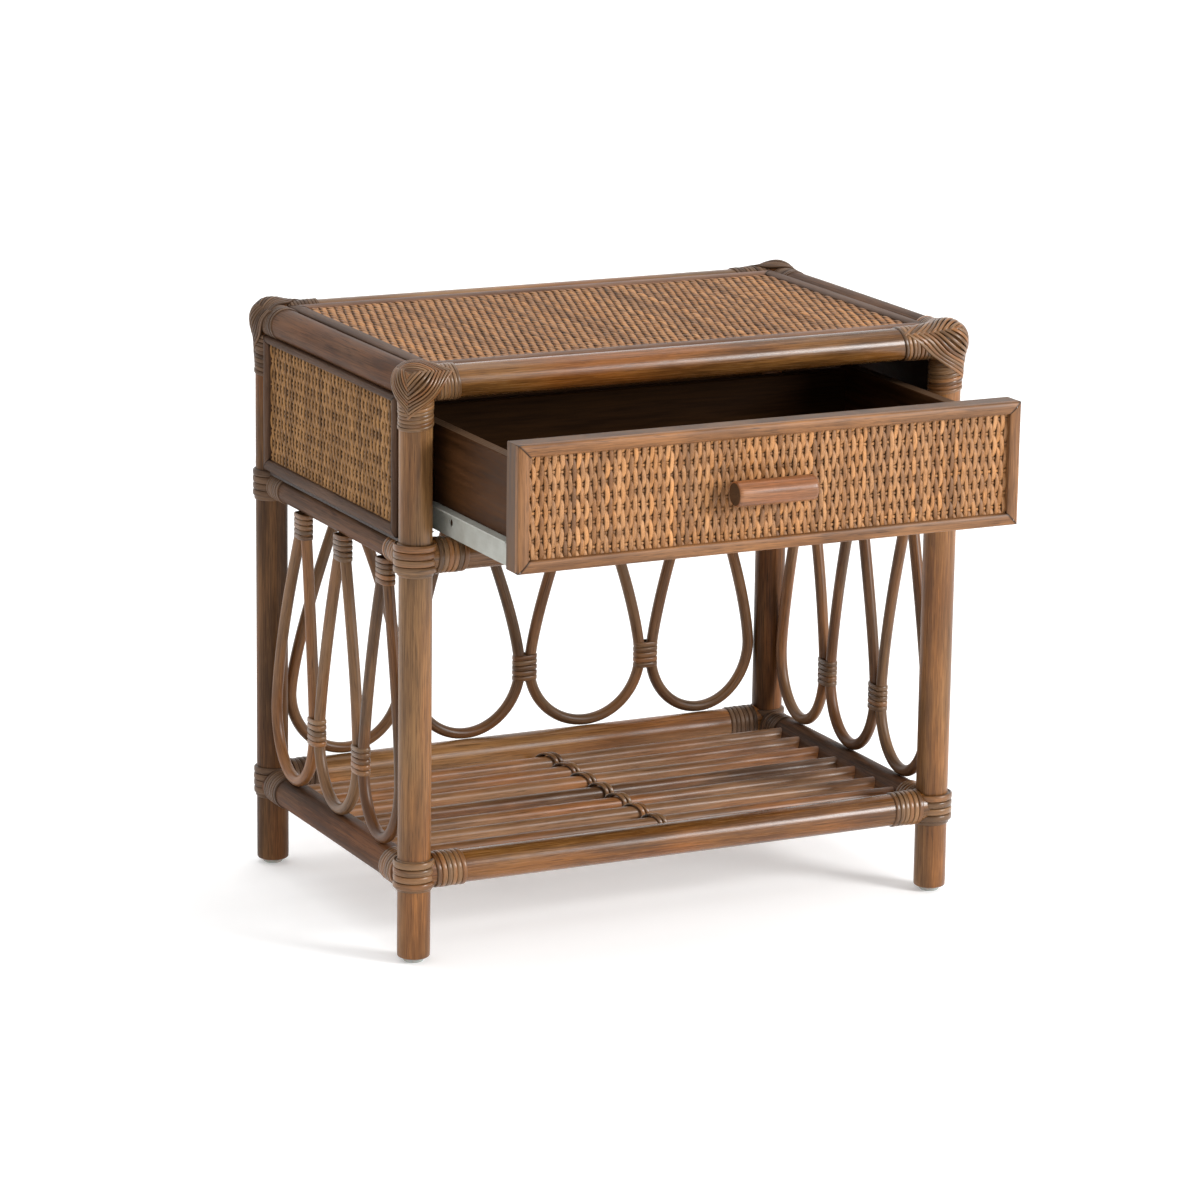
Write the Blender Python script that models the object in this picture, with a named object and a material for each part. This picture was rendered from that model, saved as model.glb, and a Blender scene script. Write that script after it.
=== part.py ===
"""Rattan nightstand with one drawer.

Metres, +Z up, front of the cabinet towards -Y. The origin lies on the floor under the middle of the
whole piece as it stands with its drawer DRAWER_OPEN out of the cabinet.
"""
import math

import bmesh
import bpy
from mathutils import Matrix

for old in list(bpy.data.objects):
    bpy.data.objects.remove(old, do_unlink=True)

# ---------------------------------------------------------------- overall
WIDTH = 0.5181            # over the legs, left to right
DEPTH = 0.3318            # over the legs, front to back
HEIGHT = 0.4990           # floor to the crown of the top rails
CLEAR = 0.0003            # between pieces that touch

# ---------------------------------------------------------------- poles
LEG_R = 0.0138
RAIL_R = 0.0138
POLE_SIDES = 20
POLE_EDGE = 0.0020        # rounded cut edge of a leg
GLIDE_R = 0.0085
GLIDE_H = 0.0037
GLIDE_EDGE = 0.0008
BAY_H = 0.1428            # top rail axis to mid rail axis, front and back
MID_SIDE_DROP = 0.0010    # side mid rails below the front and back ones
MID_SIDE_R = 0.0103       # side mid rails are thinner poles
SHELF_Z = 0.0763          # axis of the front and back bottom rails
SHELF_SIDE_DROP = 0.0036  # side bottom rails below them

# ---------------------------------------------------------------- loops
LOOP_R = 0.0050
LOOP_WIDEST = 0.0740      # widest point above the bottom rail axis
LOOP_OUT = 0.0040         # loop plane outboard of the rail axes
LOOP_NECK = 0.0140        # straight part under the mid rail
LOOP_SWELL = 1.4          # how full the sides of a loop are
# the loops are tied by eye: how far each meeting place and each top is from even spacing, listed
# from left to right at the back and from front to back at the sides
LOOP_MEETS = {"back": (0.0, 0.0, 0.0055), "left": (-0.0053, -0.0030), "right": (0.0, 0.0)}
LOOP_TOPS = {"back": (0.0, -0.0030, 0.0, 0.0040), "left": (-0.0098, -0.0131, -0.0204),
             "right": (0.0, 0.0, 0.0)}
LOOP_ARC_STEPS = 10
LOOP_SIDE_STEPS = 6

# ---------------------------------------------------------------- shelf
SLATS = 7
SLAT_R = 0.0053
SLAT_RISE = 0.0022        # above the side rails' axes
SUPPORT_R = 0.0040
SUPPORT_IN = 0.0040       # support ends short of the front and back rail axes

# ---------------------------------------------------------------- panels and trims
TOP_BOARD_T = 0.0060
TOP_BOARD_DROP = 0.0046   # board face below the crown of the rails
WEAVE_T = 0.0024          # woven sheet proud of its board
TRIM_CROWN_DROP = 0.0005  # top trim crown below the crown of the rails
TOP_TRIM_W = 0.0135
SIDE_BOARD_T = 0.0080
SIDE_BOARD_IN = 0.0057    # board face inboard of the legs' outer faces
SIDE_WEAVE_T = 0.0015
SIDE_TRIM_W = 0.0100
SIDE_TRIM_TOP_W = 0.0063
SIDE_TRIM_RISE = 0.0049   # lower edge of the side trim above the crown of the mid rail
BACK_T = 0.0060

# ---------------------------------------------------------------- drawer front and handle
FRONT_GAP_SIDE = 0.0046   # front to leg
FRONT_GAP_TOP = 0.0080    # front to top rail
FRONT_GAP_LOW = 0.0041    # front to mid rail
FRONT_BOARD_T = 0.0160
FRONT_WEAVE_T = 0.0025
FRONT_TRIM_W = 0.0100
FRONT_TRIM_T = 0.0067
FRONT_RECESS = 0.0063     # closed front behind the legs' front faces
DRAWER_OPEN = 0.1490      # how far the drawer stands out
HANDLE_R = 0.0105
HANDLE_L = 0.0710
HANDLE_EDGE = 0.0010
HANDLE_STAND = 0.0060     # handle to woven sheet
HANDLE_SHIFT = -0.0078    # handle left of the middle
SPACER_R = 0.0060

# ---------------------------------------------------------------- drawer box
SLIDE_SPACE = 0.0120      # cabinet member face to drawer side
SIDE_T = 0.0110
SIDE_TOP_DROP = 0.0165    # drawer side below the top of the front
BACK_BOARD_T = 0.0120
BACK_BOARD_DROP = 0.0040
BOX_BACK_CLEAR = 0.0355   # closed box to back panel
BOTTOM_T = 0.0050
BOTTOM_RISE = 0.0062      # bottom above the sides' lower edge
BOARD_EDGE = 0.0006

# ---------------------------------------------------------------- slides
MEMBER_T = 0.0012
RUNNER_H = 0.0227         # drawer member
RUNNER_DROP = 0.0006      # drawer member below the drawer front
RUNNER_FOOT = 0.0110      # flange under the drawer side
RUNNER_WING = 0.0080      # flange that rides on the cabinet roller
TRACK_H = 0.0302          # cabinet member
TRACK_LOW_GAP = 0.0008    # cabinet member above the front mid rail
TRACK_FLANGE = 0.0100
TRACK_WALL_GAP = 0.0004   # cabinet member to the legs' inner line
TRACK_REAR_GAP = 0.0008   # cabinet member to back panel
TRACK_LIP = 0.0075
TRACK_FRONT_TAB = 0.0140  # plain tongue in front of the track flanges
FRONT_STOP_GAP = 0.0015   # closed drawer front to the track flanges
RUNNER_FRONT_GAP = 0.0008 # drawer member to the drawer front
ROLLER_R = 0.0085
ROLLER_W = 0.0060
ROLLER_GAP = 0.0014       # roller to the drawer member's web, room for a pin head
ROLLER_BORE_R = 0.0023
PIN_R = 0.0020
PIN_HEAD_R = 0.0034
PIN_HEAD_T = 0.0006
ROLLER_EDGE = 0.0008
ROLLER_SETBACK = 0.0110   # drawer roller ahead of the member's rear end
TRACK_ROLLER_BACK = 0.0120  # cabinet roller behind the closed front
SCREW_HOLE_R = 0.0033
SCREW_HOLE_RISE = 0.0010  # above the middle of the drawer member
SCREW_HOLES = (0.1180, 0.2150)   # behind the drawer front

# ---------------------------------------------------------------- derived positions
LEG_X = WIDTH / 2 - LEG_R
LEG_Y = DEPTH / 2 - LEG_R
LEG_IN_X = LEG_X - LEG_R
LEG_IN_Y = LEG_Y - LEG_R
TOP_Z = HEIGHT - RAIL_R
MID_Z = TOP_Z - BAY_H
MID_SIDE_Z = MID_Z - MID_SIDE_DROP
LOW_Z = SHELF_Z
LOW_SIDE_Z = SHELF_Z - SHELF_SIDE_DROP
SLAT_Z = LOW_SIDE_Z + SLAT_RISE

FRONT_HALF = LEG_IN_X - FRONT_GAP_SIDE
FRONT_Z0 = MID_Z + RAIL_R + FRONT_GAP_LOW
FRONT_Z1 = TOP_Z - RAIL_R - FRONT_GAP_TOP
FRONT_FACE_Y = -(DEPTH / 2 - FRONT_RECESS)           # trim crown, drawer closed
FRONT_FULL_T = FRONT_BOARD_T + FRONT_TRIM_T + CLEAR
BACK_FACE_Y = LEG_Y - BACK_T / 2
BOX_DEPTH = BACK_FACE_Y - BOX_BACK_CLEAR - (FRONT_FACE_Y + FRONT_FULL_T)

TRACK_OUT = LEG_IN_X - TRACK_WALL_GAP                       # outer face of the cabinet member
TRACK_Z0 = MID_Z + RAIL_R + TRACK_LOW_GAP
SIDE_OUT = TRACK_OUT - SLIDE_SPACE                   # outer face of a drawer side
RUNNER_Z0 = FRONT_Z0 - RUNNER_DROP
RUNNER_Z1 = RUNNER_Z0 + RUNNER_H
TRACK_ROLLER_Z = RUNNER_Z1 - MEMBER_T - CLEAR - ROLLER_R
RUNNER_ROLLER_Z = TRACK_Z0 + MEMBER_T + CLEAR + ROLLER_R
ROLLER_IN = SIDE_OUT + CLEAR + MEMBER_T + ROLLER_GAP # inner face of a roller
HANDLE_REACH = HANDLE_STAND + 2 * HANDLE_R - (FRONT_TRIM_T - FRONT_WEAVE_T + CLEAR)

# the drawer front's handle is the foremost point, the rear legs the hindmost
FRONTMOST = FRONT_FACE_Y - DRAWER_OPEN - HANDLE_REACH
CABINET_Y = -(FRONTMOST + DEPTH / 2) / 2


# ---------------------------------------------------------------- materials
def material(name, colour, roughness, metallic=0.0):
    """A Principled material; colour is linear RGB."""
    mat = bpy.data.materials.new(name)
    mat.use_nodes = True
    shader = mat.node_tree.nodes["Principled BSDF"]
    shader.inputs["Base Color"].default_value = (*colour, 1.0)
    shader.inputs["Roughness"].default_value = roughness
    shader.inputs["Metallic"].default_value = metallic
    return mat


RATTAN = material("rattan_pole", (0.265, 0.125, 0.056), 0.42)
RATTAN_GREY = material("rattan_pole_shade", (0.215, 0.112, 0.060), 0.46)
CANE = material("rattan_cane", (0.235, 0.128, 0.066), 0.50)
WEBBING = material("woven_webbing", (0.500, 0.265, 0.095), 0.58)
TRIM = material("rattan_trim", (0.250, 0.125, 0.062), 0.45)
PLYWOOD = material("stained_plywood", (0.095, 0.042, 0.018), 0.50)
ENAMEL = material("enamelled_steel", (0.700, 0.705, 0.670), 0.35)
NYLON = material("white_nylon", (0.780, 0.780, 0.740), 0.45)
GLIDE = material("glide_plastic", (0.760, 0.770, 0.760), 0.40)


# ---------------------------------------------------------------- building helpers
def place(obj, parent, location=(0.0, 0.0, 0.0)):
    """Link an object, hang it on its parent and put it at a local location."""
    bpy.context.scene.collection.objects.link(obj)
    obj.parent = parent
    obj.location = location
    return obj


def mesh_piece(name, bm, mat, parent, location=(0.0, 0.0, 0.0), smooth=True):
    """Turn a bmesh into a named object with outward faces."""
    bmesh.ops.remove_doubles(bm, verts=bm.verts, dist=1e-7)
    bmesh.ops.recalc_face_normals(bm, faces=bm.faces)
    mesh = bpy.data.meshes.new(name)
    bm.to_mesh(mesh)
    bm.free()
    if mat is not None:
        mesh.materials.append(mat)
    if smooth:
        mesh.shade_smooth()
        mesh.set_sharp_from_angle(angle=math.radians(35))
    return place(bpy.data.objects.new(name, mesh), parent, location)


def axis_turn(axis):
    """Rotation that lays a Z cylinder along the named axis."""
    turns = {"X": Matrix.Rotation(math.pi / 2, 4, "Y"), "Y": Matrix.Rotation(math.pi / 2, 4, "X")}
    return turns.get(axis, Matrix.Identity(4))


def cylinder_bm(radius, length, axis="Z", sides=POLE_SIDES):
    """A capped cylinder centred on the origin."""
    bm = bmesh.new()
    bmesh.ops.create_cone(bm, cap_ends=True, cap_tris=False, segments=sides,
                          radius1=radius, radius2=radius, depth=length)
    bmesh.ops.transform(bm, matrix=axis_turn(axis), verts=bm.verts)
    return bm


def box_bm(x0, x1, y0, y1, z0, z1):
    """An axis-aligned box between the given planes."""
    bm = bmesh.new()
    bmesh.ops.create_cube(bm, size=1.0)
    bmesh.ops.scale(bm, vec=(abs(x1 - x0), y1 - y0, z1 - z0), verts=bm.verts)
    middle = ((x0 + x1) / 2, (y0 + y1) / 2, (z0 + z1) / 2)
    bmesh.ops.translate(bm, vec=middle, verts=bm.verts)
    return bm


def round_edges(obj, width, segments=2, angle=50):
    """Bevel modifier on the sharp edges."""
    bevel = obj.modifiers.new("rounded edges", "BEVEL")
    bevel.width = width
    bevel.segments = segments
    bevel.limit_method = "ANGLE"
    bevel.angle_limit = math.radians(angle)
    return obj


def guide(name, bm, parent, location=(0.0, 0.0, 0.0)):
    """A hidden tool body for Boolean modifiers."""
    tool = mesh_piece(name, bm, None, parent, location, smooth=False)
    tool.hide_render = True
    tool.display_type = "WIRE"
    return tool


def boolean(obj, tool, operation="DIFFERENCE"):
    """Cut a tool body out of an object, or join it on."""
    step = obj.modifiers.new(operation.lower(), "BOOLEAN")
    step.operation = operation
    step.solver = "EXACT"
    step.object = tool
    return obj


def half_chord(radius, offset):
    """Half width of a round pole at an offset from its axis."""
    return math.sqrt(max(radius * radius - offset * offset, 0.0))


def frame_bm(u, v, widths, height, base, steps=5):
    """A mitred rectangular moulding with a half-round section.

    u and v are the outer limits, widths the strip widths at u0, u1, v0, v1. The section stands
    height above base along the third axis, w.
    """
    bm = bmesh.new()
    shoulder = 0.45
    section = [(0.0, base), (0.0, base + shoulder * height)]
    for i in range(1, steps):
        turn = math.pi * i / steps
        rise = shoulder + (1 - shoulder) * math.sin(turn)
        section.append((0.5 - 0.5 * math.cos(turn), base + height * rise))
    section += [(1.0, base + shoulder * height), (1.0, base)]
    rings = []
    for at_u, at_v in ((0, 0), (1, 0), (1, 1), (0, 1)):
        ring = []
        for across, w in section:
            pu = u[0] + widths[0] * across if at_u == 0 else u[1] - widths[1] * across
            pv = v[0] + widths[2] * across if at_v == 0 else v[1] - widths[3] * across
            ring.append(bm.verts.new((pu, pv, w)))
        rings.append(ring)
    count = len(section)
    for corner in range(4):
        a, b = rings[corner], rings[(corner + 1) % 4]
        for i in range(count):
            j = (i + 1) % count
            bm.faces.new((a[i], a[j], b[j], b[i]))
    return bm


def sheet_bm(u, v, thickness, inner_u, inner_v, rise):
    """A board whose upper face carries a raised woven field; its upper face lies at w = 0."""
    bm = bmesh.new()
    bmesh.ops.create_cube(bm, size=1.0)
    for vert in bm.verts:
        vert.co.x = u[0] if vert.co.x < 0 else u[1]
        vert.co.y = v[0] if vert.co.y < 0 else v[1]
        vert.co.z = -thickness if vert.co.z < 0 else 0.0
    bm.faces.ensure_lookup_table()
    crown = max(bm.faces, key=lambda face: face.calc_center_median().z)
    bmesh.ops.inset_individual(bm, faces=[crown], thickness=0.002, depth=0.0)
    mid_u, mid_v = (u[0] + u[1]) / 2, (v[0] + v[1]) / 2
    for vert in crown.verts:
        vert.co.x = inner_u[0] if vert.co.x < mid_u else inner_u[1]
        vert.co.y = inner_v[0] if vert.co.y < mid_v else inner_v[1]
    raised = bmesh.ops.extrude_discrete_faces(bm, faces=[crown])["faces"]
    bmesh.ops.translate(bm, vec=(0.0, 0.0, rise), verts=raised[0].verts)
    return bm


def remap(bm, rule):
    """Move every vertex by a rule that takes its coordinates."""
    for vert in bm.verts:
        vert.co = rule(*vert.co)
    return bm


def tube(name, points, radius, mat, parent, location=(0.0, 0.0, 0.0)):
    """A round cane along a chain of points."""
    curve = bpy.data.curves.new(name, "CURVE")
    curve.dimensions = "3D"
    curve.resolution_u = 1
    curve.render_resolution_u = 0
    curve.bevel_depth = radius
    curve.bevel_resolution = 2
    curve.use_fill_caps = True
    spline = curve.splines.new("POLY")
    spline.points.add(len(points) - 1)
    for point, co in zip(spline.points, points):
        point.co = (*co, 1.0)
    curve.materials.append(mat)
    return place(bpy.data.objects.new(name, curve), parent, location)


def profile_bm(points, y0, y1):
    """Extrude a closed X-Z section from y0 to y1."""
    bm = bmesh.new()
    face = bm.faces.new([bm.verts.new((x, y0, z)) for x, z in points])
    grown = bmesh.ops.extrude_face_region(bm, geom=[face])["geom"]
    moved = [item for item in grown if isinstance(item, bmesh.types.BMVert)]
    bmesh.ops.translate(bm, vec=(0.0, y1 - y0, 0.0), verts=moved)
    return bm


def ring_bm(section, sides):
    """Turn a closed (along, radius) section about the X axis."""
    bm = bmesh.new()
    rings = []
    for i in range(sides):
        turn = 2 * math.pi * i / sides
        rings.append([bm.verts.new((x, r * math.cos(turn), r * math.sin(turn))) for x, r in section])
    for i in range(sides):
        a, b = rings[i], rings[(i + 1) % sides]
        for k in range(len(section)):
            m = (k + 1) % len(section)
            bm.faces.new((a[k], a[m], b[m], b[k]))
    return bm


# ---------------------------------------------------------------- assembly frames
cabinet = bpy.data.objects.new("cabinet_frame", None)
place(cabinet, None, (0.0, CABINET_Y, 0.0))
drawer = bpy.data.objects.new("drawer_frame", None)
place(drawer, cabinet, (0.0, FRONT_FACE_Y - DRAWER_OPEN, FRONT_Z0))

SIDES = (("left", -1), ("right", 1))
ENDS = (("front", -1), ("back", 1))

# ---------------------------------------------------------------- legs and glides
leg_tools = {}
for side, sx in SIDES:
    for end, sy in ENDS:
        foot = GLIDE_H + CLEAR
        tall = HEIGHT - foot
        spot = (sx * LEG_X, sy * LEG_Y, foot + tall / 2)
        leg = mesh_piece(f"leg_{end}_{side}", cylinder_bm(LEG_R, tall), RATTAN, cabinet, spot)
        round_edges(leg, POLE_EDGE)
        glide = mesh_piece(f"foot_glide_{end}_{side}", cylinder_bm(GLIDE_R, GLIDE_H, sides=16), GLIDE,
                           cabinet, (sx * LEG_X, sy * LEG_Y, GLIDE_H / 2))
        round_edges(glide, GLIDE_EDGE, 1)
        leg_tools[side, end] = guide(f"cut_leg_{end}_{side}", cylinder_bm(LEG_R + CLEAR, 2 * HEIGHT),
                                     cabinet, spot)

# ---------------------------------------------------------------- rails, coped round the legs
LEVELS = (("top", TOP_Z, TOP_Z, RAIL_R), ("mid", MID_Z, MID_SIDE_Z, MID_SIDE_R),
          ("bottom", LOW_Z, LOW_SIDE_Z, RAIL_R))
rail_tools = {}
for level, cross_z, side_z, side_r in LEVELS:
    for end, sy in ENDS:
        spot = (0.0, sy * LEG_Y, cross_z)
        rail = mesh_piece(f"{level}_rail_{end}", cylinder_bm(RAIL_R, 2 * LEG_X, "X"), RATTAN,
                          cabinet, spot)
        for side, sx in SIDES:
            boolean(rail, leg_tools[side, end])
        rail_tools[level, end] = guide(f"cut_{level}_rail_{end}",
                                       cylinder_bm(RAIL_R + CLEAR, 2 * LEG_X + 0.02, "X"), cabinet, spot)
    for side, sx in SIDES:
        spot = (sx * LEG_X, 0.0, side_z)
        rail = mesh_piece(f"{level}_rail_{side}", cylinder_bm(side_r, 2 * LEG_Y, "Y"), RATTAN_GREY,
                          cabinet, spot)
        for end, sy in ENDS:
            boolean(rail, leg_tools[side, end])
            boolean(rail, rail_tools[level, end])

# ---------------------------------------------------------------- top panel and its trim
board_z = HEIGHT - TOP_BOARD_DROP
trim_z = board_z + CLEAR
trim_bite = half_chord(RAIL_R, trim_z - TOP_Z)
trim_u = LEG_X - trim_bite - CLEAR
trim_v = LEG_Y - trim_bite - CLEAR
field_u = trim_u - TOP_TRIM_W - CLEAR
field_v = trim_v - TOP_TRIM_W - CLEAR
board_u = LEG_X - RAIL_R - CLEAR
board_v = LEG_Y - RAIL_R - CLEAR
mesh_piece("top_panel",
           sheet_bm((-board_u, board_u), (-board_v, board_v), TOP_BOARD_T,
                    (-field_u, field_u), (-field_v, field_v), WEAVE_T),
           WEBBING, cabinet, (0.0, 0.0, board_z), smooth=False)
mesh_piece("top_trim",
           frame_bm((-trim_u, trim_u), (-trim_v, trim_v), [TOP_TRIM_W] * 4,
                    HEIGHT - TRIM_CROWN_DROP - trim_z, trim_z),
           TRIM, cabinet)

# ---------------------------------------------------------------- side panels and their trims
side_face = WIDTH / 2 - SIDE_BOARD_IN
side_z0 = MID_SIDE_Z + MID_SIDE_R + CLEAR
side_z1 = TOP_Z - RAIL_R - CLEAR
side_v = LEG_Y - LEG_R - CLEAR
trim_off = side_face + CLEAR - LEG_X
side_trim_v = LEG_Y - half_chord(LEG_R, trim_off) - CLEAR
side_trim_z0 = MID_SIDE_Z + MID_SIDE_R + SIDE_TRIM_RISE
side_trim_z1 = TOP_Z - half_chord(RAIL_R, trim_off) - CLEAR
field_y = side_trim_v - SIDE_TRIM_W - CLEAR
field_z0 = side_trim_z0 + SIDE_TRIM_W + CLEAR
field_z1 = side_trim_z1 - SIDE_TRIM_TOP_W - CLEAR
for side, sx in SIDES:
    panel = sheet_bm((-side_v, side_v), (side_z0, side_z1), SIDE_BOARD_T,
                     (-field_y, field_y), (field_z0, field_z1), SIDE_WEAVE_T)
    remap(panel, lambda u, v, w: (sx * (side_face + w), u, v))
    mesh_piece(f"side_panel_{side}", panel, WEBBING, cabinet, smooth=False)
    strip = frame_bm((-side_trim_v, side_trim_v), (side_trim_z0, side_trim_z1),
                     [SIDE_TRIM_W, SIDE_TRIM_W, SIDE_TRIM_W, SIDE_TRIM_TOP_W],
                     WIDTH / 2 - side_face - CLEAR, side_face + CLEAR)
    remap(strip, lambda u, v, w: (sx * w, u, v))
    mesh_piece(f"side_trim_{side}", strip, TRIM, cabinet)

back_u = LEG_X - LEG_R - CLEAR
mesh_piece("back_panel",
           box_bm(-back_u, back_u, BACK_FACE_Y, BACK_FACE_Y + BACK_T,
                  MID_Z + RAIL_R + CLEAR, TOP_Z - RAIL_R - CLEAR),
           PLYWOOD, cabinet, smooth=False)


# ---------------------------------------------------------------- teardrop loops
def loop_points(half, lean, bottom, widest, top):
    """Outline (across, up) of one loop from one top end round to the other; lean moves its top."""
    neck = LOOP_R + CLEAR / 2
    reach = top - LOOP_NECK - widest
    sides = []
    for sign in (1, -1):
        start = lean + sign * neck
        run = sign * half - start
        path = [(start, top)]
        for i in range(LOOP_SIDE_STEPS):
            share = 1.0 - i / LOOP_SIDE_STEPS
            path.append((start + run * (1.0 - share ** LOOP_SWELL), widest + reach * share))
        sides.append(path)
    arc = []
    for i in range(LOOP_ARC_STEPS + 1):
        turn = math.pi * i / LOOP_ARC_STEPS
        arc.append((half * math.cos(turn), widest - (widest - bottom) * math.sin(turn)))
    return sides[0] + arc + sides[1][::-1]


def loop_row(name, span, z_low, top, place_at):
    """A row of loops between -span and span; place_at gives a loop's path and place from its middle."""
    meets, tops = LOOP_MEETS[name], LOOP_TOPS[name]
    count = len(tops)
    pitch = 2 * span / count
    edges = [-span] + [-span + (n + 1) * pitch + meets[n] for n in range(count - 1)] + [span]
    bottom = z_low + half_chord(RAIL_R + LOOP_R + CLEAR, LOOP_OUT)
    for n in range(count):
        middle = (edges[n] + edges[n + 1]) / 2
        half = (edges[n + 1] - edges[n]) / 2 - LOOP_R - CLEAR / 2
        lean = -span + (n + 0.5) * pitch + tops[n] - middle
        outline = loop_points(half, lean, bottom, z_low + LOOP_WIDEST, top)
        path, spot = place_at(outline, middle)
        tube(f"loop_{name}_{n + 1}", path, LOOP_R, CANE, cabinet, spot)


loop_row("back", LEG_IN_X - CLEAR, LOW_Z, MID_Z - RAIL_R - CLEAR,
         lambda outline, x: ([(u, 0.0, z) for u, z in outline], (x, LEG_Y + LOOP_OUT, 0.0)))
for side, sx in SIDES:
    loop_row(side, LEG_IN_Y - CLEAR, LOW_SIDE_Z, MID_SIDE_Z - MID_SIDE_R - CLEAR,
             lambda outline, y: ([(0.0, u, z) for u, z in outline], (sx * (LEG_X + LOOP_OUT), y, 0.0)))

# ---------------------------------------------------------------- shelf of seven canes
slat_half = LEG_X - RAIL_R - CLEAR
slat_pitch = 2 * (LEG_Y - RAIL_R) / (SLATS + 1)
for n in range(SLATS):
    y = (n - (SLATS - 1) / 2) * slat_pitch
    mesh_piece(f"shelf_cane_{n + 1}", cylinder_bm(SLAT_R, 2 * slat_half, "X", 10), CANE, cabinet,
               (0.0, y, SLAT_Z))
support_z = SLAT_Z - SLAT_R - CLEAR - SUPPORT_R
support_l = 2 * (LEG_Y - SUPPORT_IN)
support = mesh_piece("shelf_support", cylinder_bm(SUPPORT_R, support_l, "Y", 10), CANE, cabinet,
                     (0.0, 0.0, support_z))
for end, sy in ENDS:
    boolean(support, rail_tools["bottom", end])

# ---------------------------------------------------------------- drawer front
# drawer pieces are placed from the closed cabinet's axes, carried by the drawer frame
trim_back = FRONT_TRIM_T
front_board_y = trim_back + CLEAR
front_h = FRONT_Z1 - FRONT_Z0
inner = FRONT_TRIM_W + CLEAR
front = sheet_bm((-FRONT_HALF, FRONT_HALF), (0.0, front_h), FRONT_BOARD_T,
                 (-FRONT_HALF + inner, FRONT_HALF - inner), (inner, front_h - inner), FRONT_WEAVE_T)
remap(front, lambda u, v, w: (u, front_board_y - w, v))
mesh_piece("drawer_front", front, WEBBING, drawer, smooth=False)
strip = frame_bm((-FRONT_HALF, FRONT_HALF), (0.0, front_h), [FRONT_TRIM_W] * 4, FRONT_TRIM_T, 0.0)
remap(strip, lambda u, v, w: (u, trim_back - w, v))
mesh_piece("drawer_front_trim", strip, TRIM, drawer)

weave_y = front_board_y - FRONT_WEAVE_T
handle_y = weave_y - HANDLE_STAND - HANDLE_R
handle_at = (HANDLE_SHIFT, handle_y, front_h / 2)
handle = mesh_piece("drawer_handle", cylinder_bm(HANDLE_R, HANDLE_L, "X"), RATTAN, drawer, handle_at)
spacer_l = HANDLE_STAND + HANDLE_R / 2 - CLEAR
spacer = guide("join_handle_spacer", cylinder_bm(SPACER_R, spacer_l, "Y", 14), drawer,
               (HANDLE_SHIFT, weave_y - CLEAR - spacer_l / 2, front_h / 2))
round_edges(handle, HANDLE_EDGE)
boolean(handle, spacer, "UNION")

# ---------------------------------------------------------------- drawer box
box_y0 = FRONT_FULL_T + CLEAR
box_y1 = FRONT_FULL_T + BOX_DEPTH
side_low = RUNNER_Z0 + MEMBER_T + CLEAR - FRONT_Z0
side_high = front_h - SIDE_TOP_DROP
side_in = SIDE_OUT - SIDE_T
for side, sx in SIDES:
    board = box_bm(sx * SIDE_OUT, sx * side_in, box_y0, box_y1, side_low, side_high)
    round_edges(mesh_piece(f"drawer_side_{side}", board, PLYWOOD, drawer), BOARD_EDGE, 1)
inside = side_in - CLEAR
rear = box_bm(-inside, inside, box_y1 - BACK_BOARD_T, box_y1, side_low, side_high - BACK_BOARD_DROP)
round_edges(mesh_piece("drawer_back", rear, PLYWOOD, drawer), BOARD_EDGE, 1)
bottom = box_bm(-inside, inside, box_y0, box_y1 - BACK_BOARD_T - CLEAR,
                side_low + BOTTOM_RISE, side_low + BOTTOM_RISE + BOTTOM_T)
mesh_piece("drawer_bottom", bottom, PLYWOOD, drawer, smooth=False)


# ---------------------------------------------------------------- slides
def pin_bm(length):
    """A roller pin along +X with a flat head at its far end."""
    bm = bmesh.new()
    neck = length - PIN_HEAD_T
    section = [(0.0, PIN_R), (neck, PIN_R), (neck, PIN_HEAD_R), (length, PIN_HEAD_R)]
    sides = 12
    turns = [2 * math.pi * i / sides for i in range(sides)]
    rings = []
    for x, r in section:
        rings.append([bm.verts.new((x, r * math.cos(t), r * math.sin(t))) for t in turns])
    for a, b in zip(rings, rings[1:]):
        for i in range(sides):
            j = (i + 1) % sides
            bm.faces.new((a[i], b[i], b[j], a[j]))
    bm.faces.new(rings[0])
    bm.faces.new(rings[-1])
    return bm


roller_section = [(0.0, ROLLER_BORE_R), (0.0, ROLLER_R - ROLLER_EDGE), (ROLLER_EDGE, ROLLER_R),
                  (ROLLER_W - ROLLER_EDGE, ROLLER_R), (ROLLER_W, ROLLER_R - ROLLER_EDGE),
                  (ROLLER_W, ROLLER_BORE_R)]
ROLLER_MID = ROLLER_IN + ROLLER_W / 2
web_out = SIDE_OUT + CLEAR + MEMBER_T
track_in = TRACK_OUT - MEMBER_T
runner_y0 = FRONT_FULL_T + RUNNER_FRONT_GAP
runner_roller_y = box_y1 - ROLLER_SETBACK
track_stop_y = FRONT_FACE_Y + FRONT_FULL_T + FRONT_STOP_GAP
track_y0 = track_stop_y - FRONT_STOP_GAP - TRACK_FRONT_TAB
track_y1 = BACK_FACE_Y - TRACK_REAR_GAP
track_roller_y = FRONT_FACE_Y + FRONT_FULL_T + TRACK_ROLLER_BACK

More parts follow.
